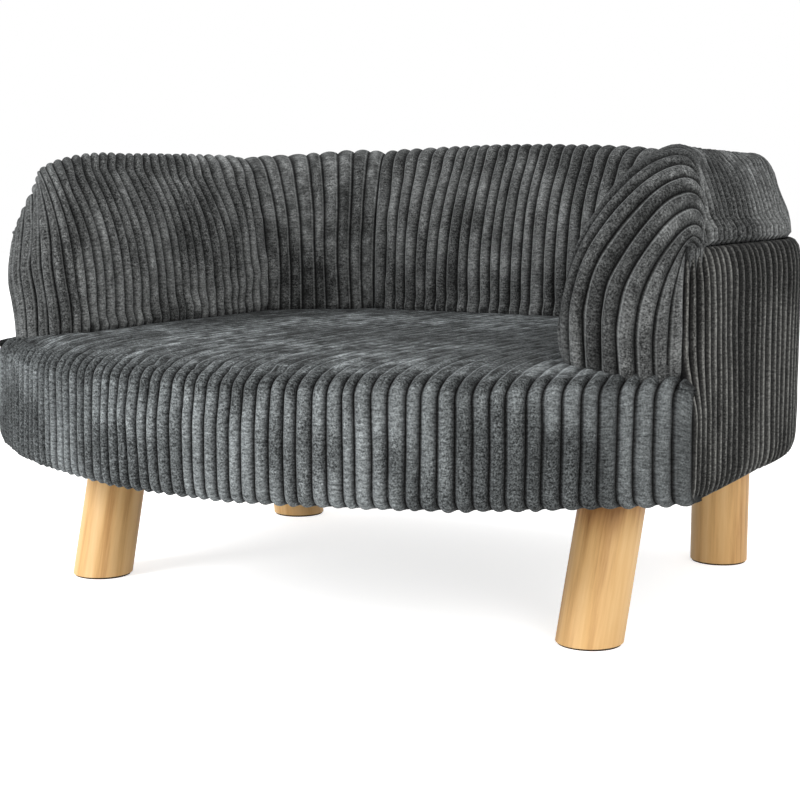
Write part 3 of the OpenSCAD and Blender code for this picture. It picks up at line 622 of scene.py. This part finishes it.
def arcPoint(degrees):  # centre + radius * (cos, sin) on the rear right arc
    r = np.radians(degrees)
    return np.stack([arcX + bed["arcRadius"] * np.cos(r), arcY + bed["arcRadius"] * np.sin(r)], -1)


crestColumn = len(wall["inner"])
visible = crestColumn + len(wall["outer"])


def onOuterSide(cols):  # 0 on the inner side and the crest, 1 three columns past it
    return ease((cols - crestColumn - 1) / 3.0)


def wallDepth(cols, depth):
    # Depth * ease at the foot and at the seam, less at the crest and more on the outer side
    start = ease((cols - 0.2) / 1.6)
    end = ease((visible - 0.6 - cols) / 1.6)
    crest = 1 - wall["crestLoss"] * np.exp(-((cols - crestColumn) / 3.0) ** 2)
    return depth * np.minimum(start, end) * crest * blend(1.0, wall["outerDepth"], onOuterSide(cols))


def holdWall(grid):
    # The foot, the seam and the inside are held, and the rows at both ends
    held = np.zeros(grid.shape[:2])
    held[:, :2] = 1
    held[:, visible - 3:] = 1
    held[[0, -1]] = 1
    return held


def finishWall(name, node, grid, ribs, pitch, seed, mirror, cut=1.0, shade=0.0, litSideSign=0):
    # Painted light: tone = (nap share * normal x + shade + outer share * outside) over the tone's
    # own share, lighter on faces towards +x, standing for the pile's nap, and on the outer side, with
    # each piece's own painted shade. On the outer side one edge of each rib also gets painted light
    # and the other painted shade: rib + tilt * lit side * side
    cols = lengthSteps(np.concatenate([grid, grid[:, :1]], 1), 0.004,
                       np.arange(grid.shape[1]) >= visible, 0.02)[:-1]
    depth = wallDepth(cols, wall["depthShare"] * pitch)
    points, normal, extras = ribbedSurface(grid, ribs, cols, depth, pitch, cut, seed, wall, loop=True)
    if mirror:
        points, normal = points * np.array([-1, 1, 1]), normal * np.array([-1, 1, 1])
    outside = onOuterSide(cols)[None]
    extras["tone"] = extras["tone"] + (wall["napAndSideLight"] * normal[..., 0] + shade
                                       + wall["outerSideLight"] * outside) / plushValues["toneShare"]
    extras["rib"] = extras["rib"] + wall["outerSideLightTilt"] * litSideSign * extras["side"] * outside
    piece = addPiece(name, closedPiece(name, points, extras, mirror), [node], wallPlush)


arm = {
    "ribsAlong": 24, "ribsFront": 8, "frontRun": 0.090, "seamBack": -0.079, "bunch": 2.2,
    "outerLean": 0.75, "end": 0.887, "crease": 0.0030, "creaseRun": 0.02, "cageRowsPerRib": 2,
    "ribPitch": 0.0112,
    "innerRound": (0.05184, 0.02225), "outerRound": (0.075, 0.04984),
    # pinch: how far the foot goes back; topAhead: how far the crest leans ahead at the side;
    # settle: run from the crease over which the ribs start to lean; tuck: how far the seam goes
    # back at the very front; sink: metres past the turn, and how far the top has sunk there
    "right": {"frontPower": 1.75, "pinch": 0.006, "pinchAll": 0.003, "topAhead": -0.026, "shoulder": 0.09,
              "tuck": 0.006, "settle": 0.09, "shade": -0.24, "sidePower": 1.8, "sideEnd": 0.72,
              "sink": [(-0.26, 0), (-0.22, 0.001), (-0.18, 0.0035), (-0.09, 0.0035), (-0.05, 0.0022),
                       (-0.03, 0.0012), (-0.015, 0.0012), (0, 0.0048), (0.02, 0.0165), (0.042, 0.035),
                       (0.064, 0.0515), (0.078, 0.058), (0.09, 0.0605)]},
    "left": {"frontPower": 1.35, "pinch": 0.010, "pinchAll": 0.004, "topAhead": 0.004, "shoulder": 0.0,
             "tuck": 0.010, "settle": 0.06, "shade": 0.14, "sidePower": 2.8, "sideEnd": 0.9,
             "sink": [(-0.26, 0), (-0.22, 0.001), (-0.18, 0.003), (-0.09, 0.0032), (-0.07, 0.0035),
                      (-0.04, 0.0055), (-0.02, 0.0085), (0, 0.0135), (0.02, 0.0215), (0.042, 0.038),
                      (0.064, 0.053), (0.078, 0.0585), (0.09, 0.0605)]},
}


def armGrid(v):
    # Foot line: down the inner side, round the front as two quarter ellipses, to the seam.
    # Outer line: the rear arc, the side, and a gathered stretch ahead of seamBack
    depthIn, insetIn = arm["innerRound"]
    depthOut, insetOut = arm["outerRound"]
    q = np.radians(np.linspace(0, 90, 40))
    start = np.array([bed["creaseSide"]])
    inner = np.stack([bed["innerX"] + insetIn * (1 - np.cos(q)),
                      bed["noseY"] + depthIn * (1 - np.sin(q))], -1)
    stop = math.asin((bed["noseY"] + depthOut - cornerY) / depthOut)
    q = np.linspace(math.pi / 2, stop, 50)
    outer = np.stack([bed["halfWidth"] - insetOut * (1 - np.cos(q)),
                      bed["noseY"] + depthOut * (1 - np.sin(q))], -1)
    path = np.concatenate([start, inner, outer])
    total = pathRun(path)[-1] - 0.003
    turn = total - arm["frontRun"]
    ribs = arm["ribsAlong"] + arm["ribsFront"]
    a = np.linspace(0, ribs, ribs * arm["cageRowsPerRib"] + 1)
    p = np.interp(a, [0, arm["ribsAlong"], ribs], [0, turn, total])
    footLine = resample(path, pathRun(path), p)
    arcRun = math.radians(bed["creaseSideAngle"]) * bed["arcRadius"]
    seamRun = arcRun + arcY - arm["seamBack"]
    bendBy = (seamRun - arm["outerLean"] * turn) / turn**2
    past = np.clip((p - turn) / arm["frontRun"], 0, 1)
    run = np.where(p < turn, arm["outerLean"] * p + bendBy * p * p,
                   blend(seamRun, arcRun + arcY - cornerY, past ** arm["bunch"]))
    angle = np.degrees((arcRun - run) / bed["arcRadius"])
    y = arcY - (run - arcRun)
    inset = insetOut * roundIn((bed["noseY"] + depthOut - y) / depthOut)
    side = np.stack([bed["halfWidth"] - np.where(y < arcY, inset, 0), y], -1)
    outerLine = np.where((run < arcRun)[:, None], arcPoint(angle), side)
    outerLine[:, 1] += v["tuck"] * past ** 3
    knots = np.array(v["sink"])
    knotAt = np.interp(p - turn, knots[:, 0], np.arange(len(knots)))
    top = bed["armHeight"] - sampleGrid(knots[:, 1:], knotAt, 0 * p)
    pull = arm["crease"] * np.clip(1 - p / arm["creaseRun"], 0, 1) ** 2

    def paths(t, z):
        # Ribs at the side: x straight, y = part^power, late. Ribs at the front: both
        # 1 - (1 - part)^power, early. The foot is pinched back under the bulge
        end = arm["end"]
        part = np.clip(t / end, 0, 1)
        mix = ease((p - turn + 0.03) / 0.06)[:, None]
        early = end * (1 - (1 - part) ** v["frontPower"])
        inSpan = (t >= 0) & (t <= end)
        shareX = np.where(inSpan, blend(t, early, mix), t)
        late = end * np.clip(part / v["sideEnd"], 0, 1) ** v["sidePower"]
        settle = ease(p / v["settle"])[:, None]
        late = blend(t, np.where(t > end, end, late), settle)
        shareY = np.where(t < 0, t, blend(late, np.where(inSpan, early, t), mix))
        back = mix * (v["pinchAll"] + v["pinch"] * (1 - ease((z - bed["footHeight"]) / 0.055)))
        back = back * (1 - part) - v["topAhead"] * np.sin(np.pi * part) ** 2 * (1 - mix) * settle
        reach = (outerLine - footLine)[:, 1:]
        return shareX, shareY + back / np.where(np.abs(reach) < 0.004, 0.004, reach)

    low = np.minimum(bed["footHeight"], seatTop(footLine[:, 0], footLine[:, 1]) + 0.0008)
    return wallSections(outerLine, footLine, top, bed["seamHeight"] + 0.0003, pull, paths, v["shoulder"],
                        low), ribs


for side, node, seed in (("Right", "arm_bolster_right", 11), ("Left", "arm_bolster_left", 12)):
    armCage, armRibs = armGrid(arm[side.lower()])
    armCage = inflate("arm padding " + side.lower(), armCage, holdWall(armCage), wall["pressure"],
                      wall["cap"])
    finishWall("armPadding" + side, node, armCage, armRibs, arm["ribPitch"], seed, side == "Left",
               shade=arm[side.lower()]["shade"], litSideSign=-1)
print("arms made")

corner = {"ribs": 9, "ribPitch": 0.0103, "crease": 0.0030, "backCrease": 0.0028, "creaseRun": 0.16,
          "cageRows": 25, "cut": 0.72, "shade": -0.22, "shoulder": 0.11}


def cornerGrid():
    # Outer line on the rear arc, inner line straight between the two creases
    f = np.linspace(0, 1, corner["cageRows"])
    outer = arcPoint(blend(bed["creaseSideAngle"], bed["creaseBackAngle"], f))
    inner = blend(np.array([bed["creaseSide"]]), np.array([bed["creaseBack"]]), f[:, None])
    top = blend(bed["armHeight"], bed["backHeight"], ease(f))
    pull = np.where(f < 0.5, corner["crease"] * np.clip(1 - f / corner["creaseRun"], 0, 1) ** 2,
                    corner["backCrease"] * np.clip(1 - (1 - f) / corner["creaseRun"], 0, 1) ** 2)
    # rows run from the back to the side, so that the faces turn as the arm's do
    return wallSections(outer, inner, top, bed["seamHeight"] + 0.0003, pull,
                        shoulder=corner["shoulder"])[::-1]


cornerCage = cornerGrid()
cornerCage = inflate("corner padding", cornerCage, holdWall(cornerCage), wall["pressure"], wall["cap"])
for name, node, seed, mirror in (("cornerPaddingRight", "corner_bolster_right", 21, False),
                                 ("cornerPaddingLeft", "corner_bolster_left", 22, True)):
    finishWall(name, node, cornerCage, corner["ribs"], corner["ribPitch"], seed, mirror, corner["cut"],
               corner["shade"])
print("corners made")

back = {"ribs": 23, "ribPitch": 0.0102, "crease": 0.0028, "creaseRun": 0.12, "cageRows": 47,
        "shade": -0.11}


def backGrid():
    # Inner line straight, outer line along the rear and a little round both arcs
    f = np.linspace(-1, 1, back["cageRows"])
    x = bed["creaseBack"][0] * f
    reach = arcPoint(bed["creaseBackAngle"])[0]
    wide = blend(x, reach * f, ease((np.abs(f) - 0.45) / 0.55))
    over = np.clip(np.abs(wide) - arcX, 0, None)
    y = arcY + np.sqrt(bed["arcRadius"] ** 2 - over ** 2)
    pull = back["crease"] * np.clip(1 - (1 - np.abs(f)) / back["creaseRun"], 0, 1) ** 2
    return wallSections(np.stack([wide, y], -1), np.stack([x, 0 * x + bed["innerY"]], -1),
                        bed["backHeight"], bed["seamHeight"] + 0.0003, pull)


backCage = backGrid()
backCage = inflate("back padding", backCage, holdWall(backCage), wall["pressure"], wall["cap"])
finishWall("backPadding", "back_bolster", backCage, back["ribs"], back["ribPitch"], 31, False,
           shade=back["shade"])
print("back made")

# the outer fabric
panel = {"uneven": 0.09, "sway": 0.17, "patch": 0.06, "layEdge": 3.5, "lump": 0.0008, "root": 1.05,
         "crowd": 0.55, "crushed": 0, "sink": 0.70, "ribDepth": 0.0046, "ribPitch": 0.012,
         "thickness": 0.0052, "fan": 0.35, "fanRun": 0.06, "fanFrom": 0.15, "fanRise": 0.10,
         "gather": 1.15, "seamFade": 0.05,
         # metres that the front edge goes back, and inwards, beside the arm's front, and how far
         # under the seat's top this starts
         "right": {"tuck": 0.002, "draw": 0.0, "from": 0.028},
         "left": {"tuck": 0.014, "draw": 0.008, "from": 0.040}, "startRun": 0.031, "tuckRun": 0.014,
         # distance inwards in mm and height as a share of the rise, top to bottom
         "profile": [(9.5, 1.0), (6.8, 1.0), (4.6, 0.99), (2.9, 0.965), (1.5, 0.93), (0.5, 0.89),
                     (0, 0.83), (0, 0.72), (0, 0.6), (0, 0.48), (0, 0.36), (0, 0.24), (0, 0.14),
                     (0.1, 0.09), (0.9, 0.045), (2.6, 0.014), (5.2, 0.0), (9.5, 0.0), (14.5, 0.0)]}


def panelGrid(line, normal, share, front=None):
    # Point = line + normal * distance inwards, height = base + rise * share; ahead of the
    # seat's edge the part above the seat also follows the arm's rounded corner
    rise = bed["seamHeight"] - 0.0003 - bed["baseHeight"]
    q = np.array(panel["profile"])
    inset = np.repeat(q[None, :, 0] / 1000, len(line), 0)
    z = np.repeat(bed["baseHeight"] + rise * q[None, :, 1], len(line), 0)
    plan = line[:, None] + normal[:, None] * inset[..., None]
    if front:
        # at the front seam the turned-in edges go back with the end of the seat's cover
        plan[..., 1] += frontEdge["seamSlope"] * inset * (1 - share[:, None])
        y = plan[..., 1]
        depth, draw = arm["outerRound"]
        above = ease((z - bed["seatHeight"] + front["from"]) / panel["startRun"])
        plan[..., 0] -= draw * roundIn((bed["noseY"] + depth - y) / depth) * above
        tucked = above * np.exp(-(line[:, None, 1] - cornerY) / panel["tuckRun"])
        plan[..., 0] -= front["draw"] * tucked
        plan[..., 1] += front["tuck"] * tucked
    return np.concatenate([plan, z[..., None]], -1)


def endStrip(count, few):
    # Triangles between the outer row's points and the inner row's fewer ones, at one end
    number = np.arange(len(few))
    inner = count + len(few) - 1 - number
    j = np.arange(count - 1)
    near = inner[np.searchsorted(few, j, side="right") - 1]
    return [np.stack([j, j + 1, near], -1), np.stack([few[1:], inner[1:], inner[:-1]], -1)]


def sheetPiece(name, node, grid, ribs, pitch, seed, mirror, values, material, depthAt,
               gap=0.004, steps=ribSteps, looks=None):
    # A ribbed outer face, a smooth face values' thickness inside it, with a column for every
    # fourth one of the outer face, and a rim that joins them. The grid's normals point inwards
    cols = lengthSteps(grid, gap, np.zeros(grid.shape[1] - 1, bool), gap)
    points, normal, extras = ribbedSurface(grid, ribs, cols, depthAt(cols), pitch, 1.0, seed, values,
                                           outward=-1, steps=steps)
    if looks:
        looks(points, cols, extras)
    rows, count = points.shape[:2]
    few = np.unique(np.concatenate([np.arange(0, count, 4), [count - 1]]))[::-1]
    rowAt, colAt = np.meshgrid(np.linspace(0, grid.shape[0] - 1, rows), cols[few], indexing="ij")
    inner = sampleGrid(grid, rowAt, colAt)
    # its columns run backwards, so here the normals point outwards
    inner = inner - gridNormals(inner, False) * values["thickness"]
    ring = np.concatenate([points, inner], 1)
    rimmed = {key: np.concatenate([value, 0.5 + 0 * value[:, few] if key == "rib" else value[:, few]], 1)
              for key, value in extras.items()}
    if mirror:
        ring = ring * np.array([-1, 1, 1])
    whole = count + len(few)
    ends = endStrip(count, few[::-1])
    mesh = newMesh(name, ring.reshape(-1, 3),
                   [gridFaces(rows, whole, True)] + ends
                   + [strip[:, ::-1] + (rows - 1) * whole for strip in ends], not mirror)
    for key, value in rimmed.items():
        setAttribute(mesh, key, value)
    return addPiece(name, mesh, [node], material)


def panelDepth(cols):
    # ribDepth * ease from the top and from the bottom, none on the turned-in edges
    last = len(panel["profile"]) - 1
    return panel["ribDepth"] * np.minimum(ease((cols - 1.2) / 2.2), ease((last - 0.6 - cols) / 2.4))


def sidePanelGrid(front):
    # Line: the side from the front seam, then the rear arc to 45 degrees, with the ribs
    # narrower at the front: d = a - gather (1 - e^(-a / 2)), in ribs. Near the top the front
    # ribs crowd towards the seam's corner: y = start + d (1 - fan e^(-d / fanRun) lift)
    straight = arcY - cornerY - 0.0006
    total = straight + math.radians(45) * bed["arcRadius"] - 0.0006
    ribs = round(total / panel["ribPitch"] + panel["gather"])
    a = np.linspace(0, ribs, ribs * 2 + 1)
    d = a - panel["gather"] * (1 - np.exp(-a / 2))
    d *= total / d[-1]
    angle = np.clip((d - straight) / bed["arcRadius"], 0, None)
    line = np.where((d < straight)[:, None],
                    np.stack([0 * d + bed["halfWidth"], cornerY + 0.0006 + d], -1),
                    arcPoint(np.degrees(angle)))
    normal = np.stack([-np.cos(angle), -np.sin(angle)], -1)
    share = ease(d / panel["seamFade"])
    grid = panelGrid(line, normal, share, front)
    lift = ease((grid[..., 2] - panel["fanFrom"]) / panel["fanRise"])
    shift = panel["fan"] * (d * np.exp(-d / panel["fanRun"]))[:, None] * lift
    grid[..., 1] -= np.where(line[:, None, 1] < arcY - 0.01, shift, 0)
    return grid, ribs


for name, node, seed, mirror in (("sidePanelRight", "side_panel_right", 41, False),
                                 ("sidePanelLeft", "side_panel_left", 42, True)):
    sideGrid, sideRibs = sidePanelGrid(panel["left" if mirror else "right"])
    piece = sheetPiece(name, node, sideGrid, sideRibs, panel["ribPitch"], seed, mirror, panel,
                       panelPlush, panelDepth)


def rearPanelGrid():
    # Line: the rear arc from 45 degrees, the straight rear, and the other arc
    q = np.linspace(45.2, 90, 40)
    half = arcPoint(q)
    line = np.concatenate([half, half[::-1] * np.array([-1, 1])])
    normals = -np.stack([np.cos(np.radians(q)), np.sin(np.radians(q))], -1)
    normals = np.concatenate([normals, normals[::-1] * np.array([-1, 1])])
    run = pathRun(line)
    total = np.linalg.norm(np.diff(line, axis=0), axis=1).sum()
    ribs = round(total / panel["ribPitch"])
    want = np.linspace(0, total, ribs * 2 + 1)
    normalAt = resample(normals, run, want)
    normalAt /= np.linalg.norm(normalAt, axis=1, keepdims=True)
    return panelGrid(resample(line, run, want), normalAt, np.ones(len(want))), ribs, total / ribs


rearGrid, rearRibs, rearPitch = rearPanelGrid()
piece = sheetPiece("rearPanel", "rear_panel", rearGrid, rearRibs, rearPitch, 43, False, panel,
                   panelPlush, panelDepth)
print("outer fabric made")

# the seat's cover
seat = {
    "ribs": 61, "uneven": 0.05, "sway": 0.07, "patch": 0.05, "layEdge": 3.5, "lump": 0.0014,
    "root": 0.78, "crowd": 1, "crushed": 0.7, "sink": 0.42, "ribDepth": 0.0038, "flatShare": 0.14,
    "crown": 0.002, "crownReach": 0.235, "thickness": 0.0022, "pressure": 1.5, "cap": 0.0015,
    "topRows": 22, "rowPower": 1.35, "endRound": 0.009, "endRun": 0.016, "turnIn": 0.0145,
    # painted light across the seat: middle + side * (x / halfWidth)^2, painted shade to both sides, and
    # the share of the front edge's painted highlight
    "middleTone": 0.10, "sideShade": -0.38, "edgeHighlight": 0.50, "shoulder": 4.6,
}


def seatGrid():
    # Each column keeps its x: from the back along the top, round the front edge as a quarter
    # ellipse, down the band and under the base, then back inside to close the cage
    columns = seat["ribs"] + 1
    x = np.linspace(-bed["halfWidth"], bed["halfWidth"], columns)
    ax = np.abs(x)
    skew, front = frontSkew(x), frontY(x)
    inRadius = bed["arcRadius"] - bed["frameInset"]
    over = np.clip(ax - arcX, 0, inRadius)
    rear = arcY + np.sqrt(inRadius ** 2 - over ** 2)
    limit = bed["halfWidth"] - bed["frameInset"]
    ahead = cornerY + 0.0008 + frontEdge["seamSlope"] * (bed["halfWidth"] - ax)
    rear = np.where(ax > limit, ahead, rear)
    run = np.minimum(frontEdge["run"] * skew, (rear - front) * 0.8)
    rows = []
    top = bed["seatHeight"]
    endDrop = seat["endRound"] * np.clip(1 - (bed["halfWidth"] - ax) / seat["endRun"], 0, 1) ** 1.6
    for k in range(seat["topRows"]):
        f = 1 - (1 - k / seat["topRows"]) ** seat["rowPower"]
        y = blend(rear, front + run, f)
        hump = np.clip(1 - (x / seat["crownReach"]) ** 4, 0, 1) * np.sin(np.pi * f) ** 0.7
        rows.append((y, seatTop(x, np.maximum(y, front + frontEdge["run"] * skew)) + seat["crown"] * hump
                     - endDrop))
    high = top - frontDrop(x) - endDrop
    for degrees in (0, 15, 30, 45, 60, 75, 90):
        r = math.radians(degrees)
        rows.append((front + run * (1 - math.sin(r)), high - frontEdge["radius"] * (1 - math.cos(r))))
    low = bed["baseHeight"]
    side = high - frontEdge["radius"]
    for share in (0.28, 0.5, 0.7, 0.84):
        rows.append((front, blend(side, low + 0.004, share)))
    for inset, height in ((0.0004, 0.0075), (0.0016, 0.0034), (0.0045, 0.0008), (0.0085, 0.0),
                          (seat["turnIn"], 0.0)):
        rows.append((front + inset * skew, 0 * x + low + height))
    outerCount = len(rows)
    for share in (0.1, 0.35, 0.7, 1.0):
        rows.append((blend(front + seat["turnIn"] * skew, rear, share), 0 * x + low + 0.001))
    rows.append((rear, 0 * x + blend(low, top, 0.5)))
    grid = np.stack([np.stack([x, y, z], -1) for y, z in rows], 1)
    return grid, outerCount


seatCage, seatOuter = seatGrid()


def holdSeat():
    # Held: the back, the turned-in front, both ends, and the top where the wall stands on it
    x, y, z = np.moveaxis(seatCage, -1, 0)
    held = np.zeros(x.shape)
    held[:, 0] = 1
    held[:, seatOuter - 2:] = 1
    underArm = (np.abs(x) > bed["innerX"] - 0.004) & (y > -0.13)
    underBack = y > bed["innerY"] - 0.004
    inCorner = (np.abs(x) - bed["creaseBack"][0]) / 0.075 + (y - bed["creaseSide"][1]) / 0.051 > 1
    held[(underArm | underBack | (inCorner & (y > 0.11))) & (z > 0.18)] = 1
    held[[0, 1, -2, -1]] = 1
    return held


seatCage = inflate("seat", seatCage, holdSeat(), seat["pressure"], seat["cap"])[:, :seatOuter]


def seatDepth(cols):
    # Crushed on top, swelling over the front edge, full on the band, ending under the base
    swell = blend(seat["flatShare"], 1.0, ease((cols - seat["topRows"] + 0.3) / 2.4))
    end = ease((seatOuter - 1.6 - cols) / 2.2)
    return seat["ribDepth"] * swell * end


seatSteps = np.array([0, 0.06, 0.14, 0.25, 0.38, 0.51, 0.64, 0.77, 0.88, 0.95])


def seatLooks(points, cols, extras):
    # The shoulders of the ribs are dark and stippled down to a ragged height, the band below
    # them pale and combed, painted shade darkens the tone to both sides, and a painted highlight
    # lies along the front edge
    rng = np.random.default_rng(57)
    ribAt = np.clip((points[..., 0] / bed["halfWidth"] + 1) * seat["ribs"] / 2, 0, seat["ribs"] - 1)
    ragged = rng.normal(0, 0.55, seat["ribs"])[ribAt.astype(int)] \
        + 1.6 * softNoise(extras["across"], extras["along"], 0.06, 0.09, 58)
    place = (cols - seat["topRows"])[None, :]
    over = place - seat["shoulder"] - ragged
    dark = ease(-over / 0.5) * ease((place + 0.3) / 1.2)
    pale = ease(over / 0.6) * ease((3.2 - over) / 1.2)
    extras["lay"] = blend(blend(extras["lay"], -1.0, 0.85 * dark), 0.9, 0.6 * pale)
    # painted shade where the band turns away to the sides, and a painted highlight along the front edge
    side = (points[..., 0] / bed["halfWidth"]) ** 2
    edgeHighlightMask = np.exp(-((place + 1.4) / 1.9) ** 2)
    extras["tone"] = extras["tone"] + (seat["middleTone"] + seat["sideShade"] * side
                                       + seat["edgeHighlight"] * edgeHighlightMask) / plushValues["toneShare"]


seatPiece = sheetPiece("seatCover", "seat_cover", seatCage, seat["ribs"],
                       2 * bed["halfWidth"] / seat["ribs"], 51, False, seat, seatPlush,
                       seatDepth, gap=0.0046, steps=seatSteps, looks=seatLooks)
print("seat cover made")

# base cloth, legs and inside
cloth = {"height": (0.1036, 0.1046), "inset": 0.0185, "sag": 0.0006, "columns": 60, "rows": 40}


def baseCloth():
    # A D-shaped sheet: each column runs from the front curve to the rear arc, and its underside
    # sags by soft noise * sin(pi * share of the column). The flat width, length and area come out
    limit = bed["halfWidth"] - cloth["inset"]
    x = np.linspace(-limit, limit, cloth["columns"])
    ax = np.abs(x)
    front = frontY(x) + cloth["inset"] * frontSkew(x)
    radius = bed["arcRadius"] - cloth["inset"]
    rear = arcY + np.sqrt(np.clip(radius ** 2 - np.clip(ax - arcX, 0, radius) ** 2, 0, None))
    v = np.linspace(0, 1, cloth["rows"])
    y = blend(front[:, None], rear[:, None], v[None])
    across = np.repeat(x[:, None], len(v), 1)
    hang = softNoise(across, y, 0.05, 0.05, 61) * 0.5 + 0.5
    low, high = cloth["height"]
    lower = np.stack([across, y, low - 0 * across - cloth["sag"] * hang * np.sin(np.pi * v)[None]], -1)
    upper = lower + np.array([0, 0, high - low])
    ring = np.concatenate([lower, upper[:, ::-1]], 1)
    rows, half = ring.shape[0], len(v)
    j = np.arange(half - 1)
    first = np.stack([j, j + 1, 2 * half - 2 - j, 2 * half - 1 - j], -1)
    mesh = newMesh("baseCloth", ring.reshape(-1, 3),
                   [gridFaces(rows, 2 * half, True), first, first[:, ::-1] + (rows - 1) * 2 * half], True)
    area = float(np.trapz(rear - front, x))
    return mesh, 2 * limit, float((rear - front).max()), area


mesh, clothWide, clothLong, clothArea = baseCloth()
piece = addPiece("baseCloth", mesh, ["dust_cover"], blackCloth)


def dress(node, material):  # a solid keeps its shape and gets only its material
    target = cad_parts[node]
    if target.material_slots:
        for slotEntry in target.material_slots:
            slotEntry.material = material
    else:
        target.data.materials.append(material)


# each leg's lean towards +x and rake towards +y going up, in degrees, for its grain
legs = {"leg_front_left": (-2.1, 17.6), "leg_front_right": (2.1, 17.6),
        "leg_rear_left": (-2.1, -6.3), "leg_rear_right": (2.1, -6.3)}
for number, (node, (lean, rake)) in enumerate(legs.items()):
    axis = Vector((math.tan(math.radians(lean)), math.tan(math.radians(rake)), 1)).normalized()
    dress(node, wood("Pine leg " + node[4:].replace("_", " "), axis,
                     {**legValues, "offset": (0.13 + 0.21 * number, 0.05 - 0.17 * number, 0.3 * number)}))

plainNodes = {
    # low and high colour, scale, roughness, metallic, stretch, and the nodes that have it
    "Felt pad": ((0.020, 0.012, 0.008), (0.045, 0.028, 0.019), 900.0, 0.95, 0.0, (1, 1, 1),
                 ["foot_pad_front_left", "foot_pad_front_right", "foot_pad_rear_left",
                  "foot_pad_rear_right"]),
    "Seat foam": ((0.80, 0.74, 0.52), (0.88, 0.83, 0.62), 500.0, 0.9, 0.0, (1, 1, 1), ["seat_foam"]),
    "Wadding": ((0.80, 0.80, 0.78), (0.92, 0.92, 0.90), 160.0, 0.95, 0.0, (1, 1, 1),
                ["band_padding_strip"]),
    "Bent board": ((0.30, 0.19, 0.10), (0.40, 0.27, 0.15), 260.0, 0.7, 0.0, (1, 1, 0.3), ["front_apron"]),
    "Plywood": ((0.46, 0.31, 0.16), (0.62, 0.45, 0.25), 60.0, 0.6, 0.0, (0.15, 1, 1),
                ["base_board", "deck_board"]),
    "Softwood": ((0.58, 0.40, 0.21), (0.74, 0.55, 0.32), 80.0, 0.6, 0.0, (1, 0.1, 1),
                 ["batten_left", "batten_middle", "batten_right"]),
    "Wall board": ((0.33, 0.21, 0.11), (0.45, 0.31, 0.18), 240.0, 0.7, 0.0, (1, 1, 1),
                   ["arm_board_left", "arm_board_right", "corner_board_left", "corner_board_right",
                    "back_board"]),
    "Zinc steel": ((0.48, 0.49, 0.51), (0.62, 0.63, 0.65), 320.0, 0.35, 1.0, (1, 1, 1),
                   ["leg_bolts", "insert_nuts"]),
}
for name, (low, high, scale, rough, metal, stretch, nodes) in plainNodes.items():
    made = plainFinish(name, low, high, scale, rough, metal, stretch)
    for node in nodes:
        dress(node, made)
print("legs, base and inside dressed")

# floor and light
light = {"world": 0.74, "key": 26.0, "fill": 9.0, "top": 4.0, "floor": 0.97, "glow": 0.70}


def floorPiece():
    # A wide plain disc, radius = 6 * share^1.5. The camera sees it lighter than the lamps make it
    rings = np.linspace(0, 1, 24)[:, None]
    turn = np.linspace(0, 2 * np.pi, 97)[None, :-1]
    radius = 6 * rings ** 1.5
    points = np.stack([radius * np.cos(turn), radius * np.sin(turn), 0 * radius * turn], -1)
    mesh = newMesh("floor", points[1:].reshape(-1, 3),
                   [gridFaces(23, 96, True), np.arange(96)[None, :]], False)
    material, shader, node, link, maths, ramp = startMaterial("Pale floor")
    setInputs(shader, {"Base Color": (light["floor"],) * 3 + (1,), "Roughness": 0.9,
                       "Specular IOR Level": 0.1, "Emission Color": (1, 1, 1, 1)})
    ray = node("ShaderNodeLightPath")
    seen = maths("MAXIMUM", ray.outputs["Is Camera Ray"],
                 maths("MAXIMUM", ray.outputs["Is Glossy Ray"], ray.outputs["Is Transmission Ray"]))
    link(maths("MULTIPLY", seen, light["glow"]), shader.inputs["Emission Strength"])
    mesh.materials.append(material)
    addObject("floor", mesh)


floorPiece()


def whiteWorld():
    # Strength = world + (1 - world) * (seen by the camera or in a gloss)
    world = bpy.data.worlds.new("studio")
    bpy.context.scene.world = world
    world.use_nodes = True
    background = world.node_tree.nodes["Background"]
    node, link, maths, ramp = treeTools(world.node_tree)
    ray = node("ShaderNodeLightPath")
    seen = maths("MAXIMUM", ray.outputs["Is Camera Ray"], ray.outputs["Is Glossy Ray"])
    setInputs(background, {"Color": (1, 1, 1, 1)})
    link(maths("MULTIPLY_ADD", seen, 1 - light["world"], light["world"]), background.inputs["Strength"])


whiteWorld()


def softbox(name, place, size, watts, colour=(1, 1, 1)):  # a round lamp aimed at the seat
    data = bpy.data.lights.new(name, "AREA")
    data.shape, data.size, data.energy, data.color = "DISK", size, watts, colour
    lamp = addObject(name, data)
    aim = Vector((0, -0.02, 0.18)) - Vector(place)
    lamp.matrix_world = Matrix.Translation(place) @ aim.to_track_quat("-Z", "Y").to_matrix().to_4x4()


softbox("key", (-0.95, -1.45, 1.0), 0.8, light["key"])
softbox("fill", (1.35, -1.15, 0.7), 0.9, light["fill"], (1.0, 0.97, 0.93))
softbox("top", (0.1, 0.4, 1.9), 1.4, light["top"])
bpy.context.scene.view_settings.view_transform = "Standard"

print("scene ready")
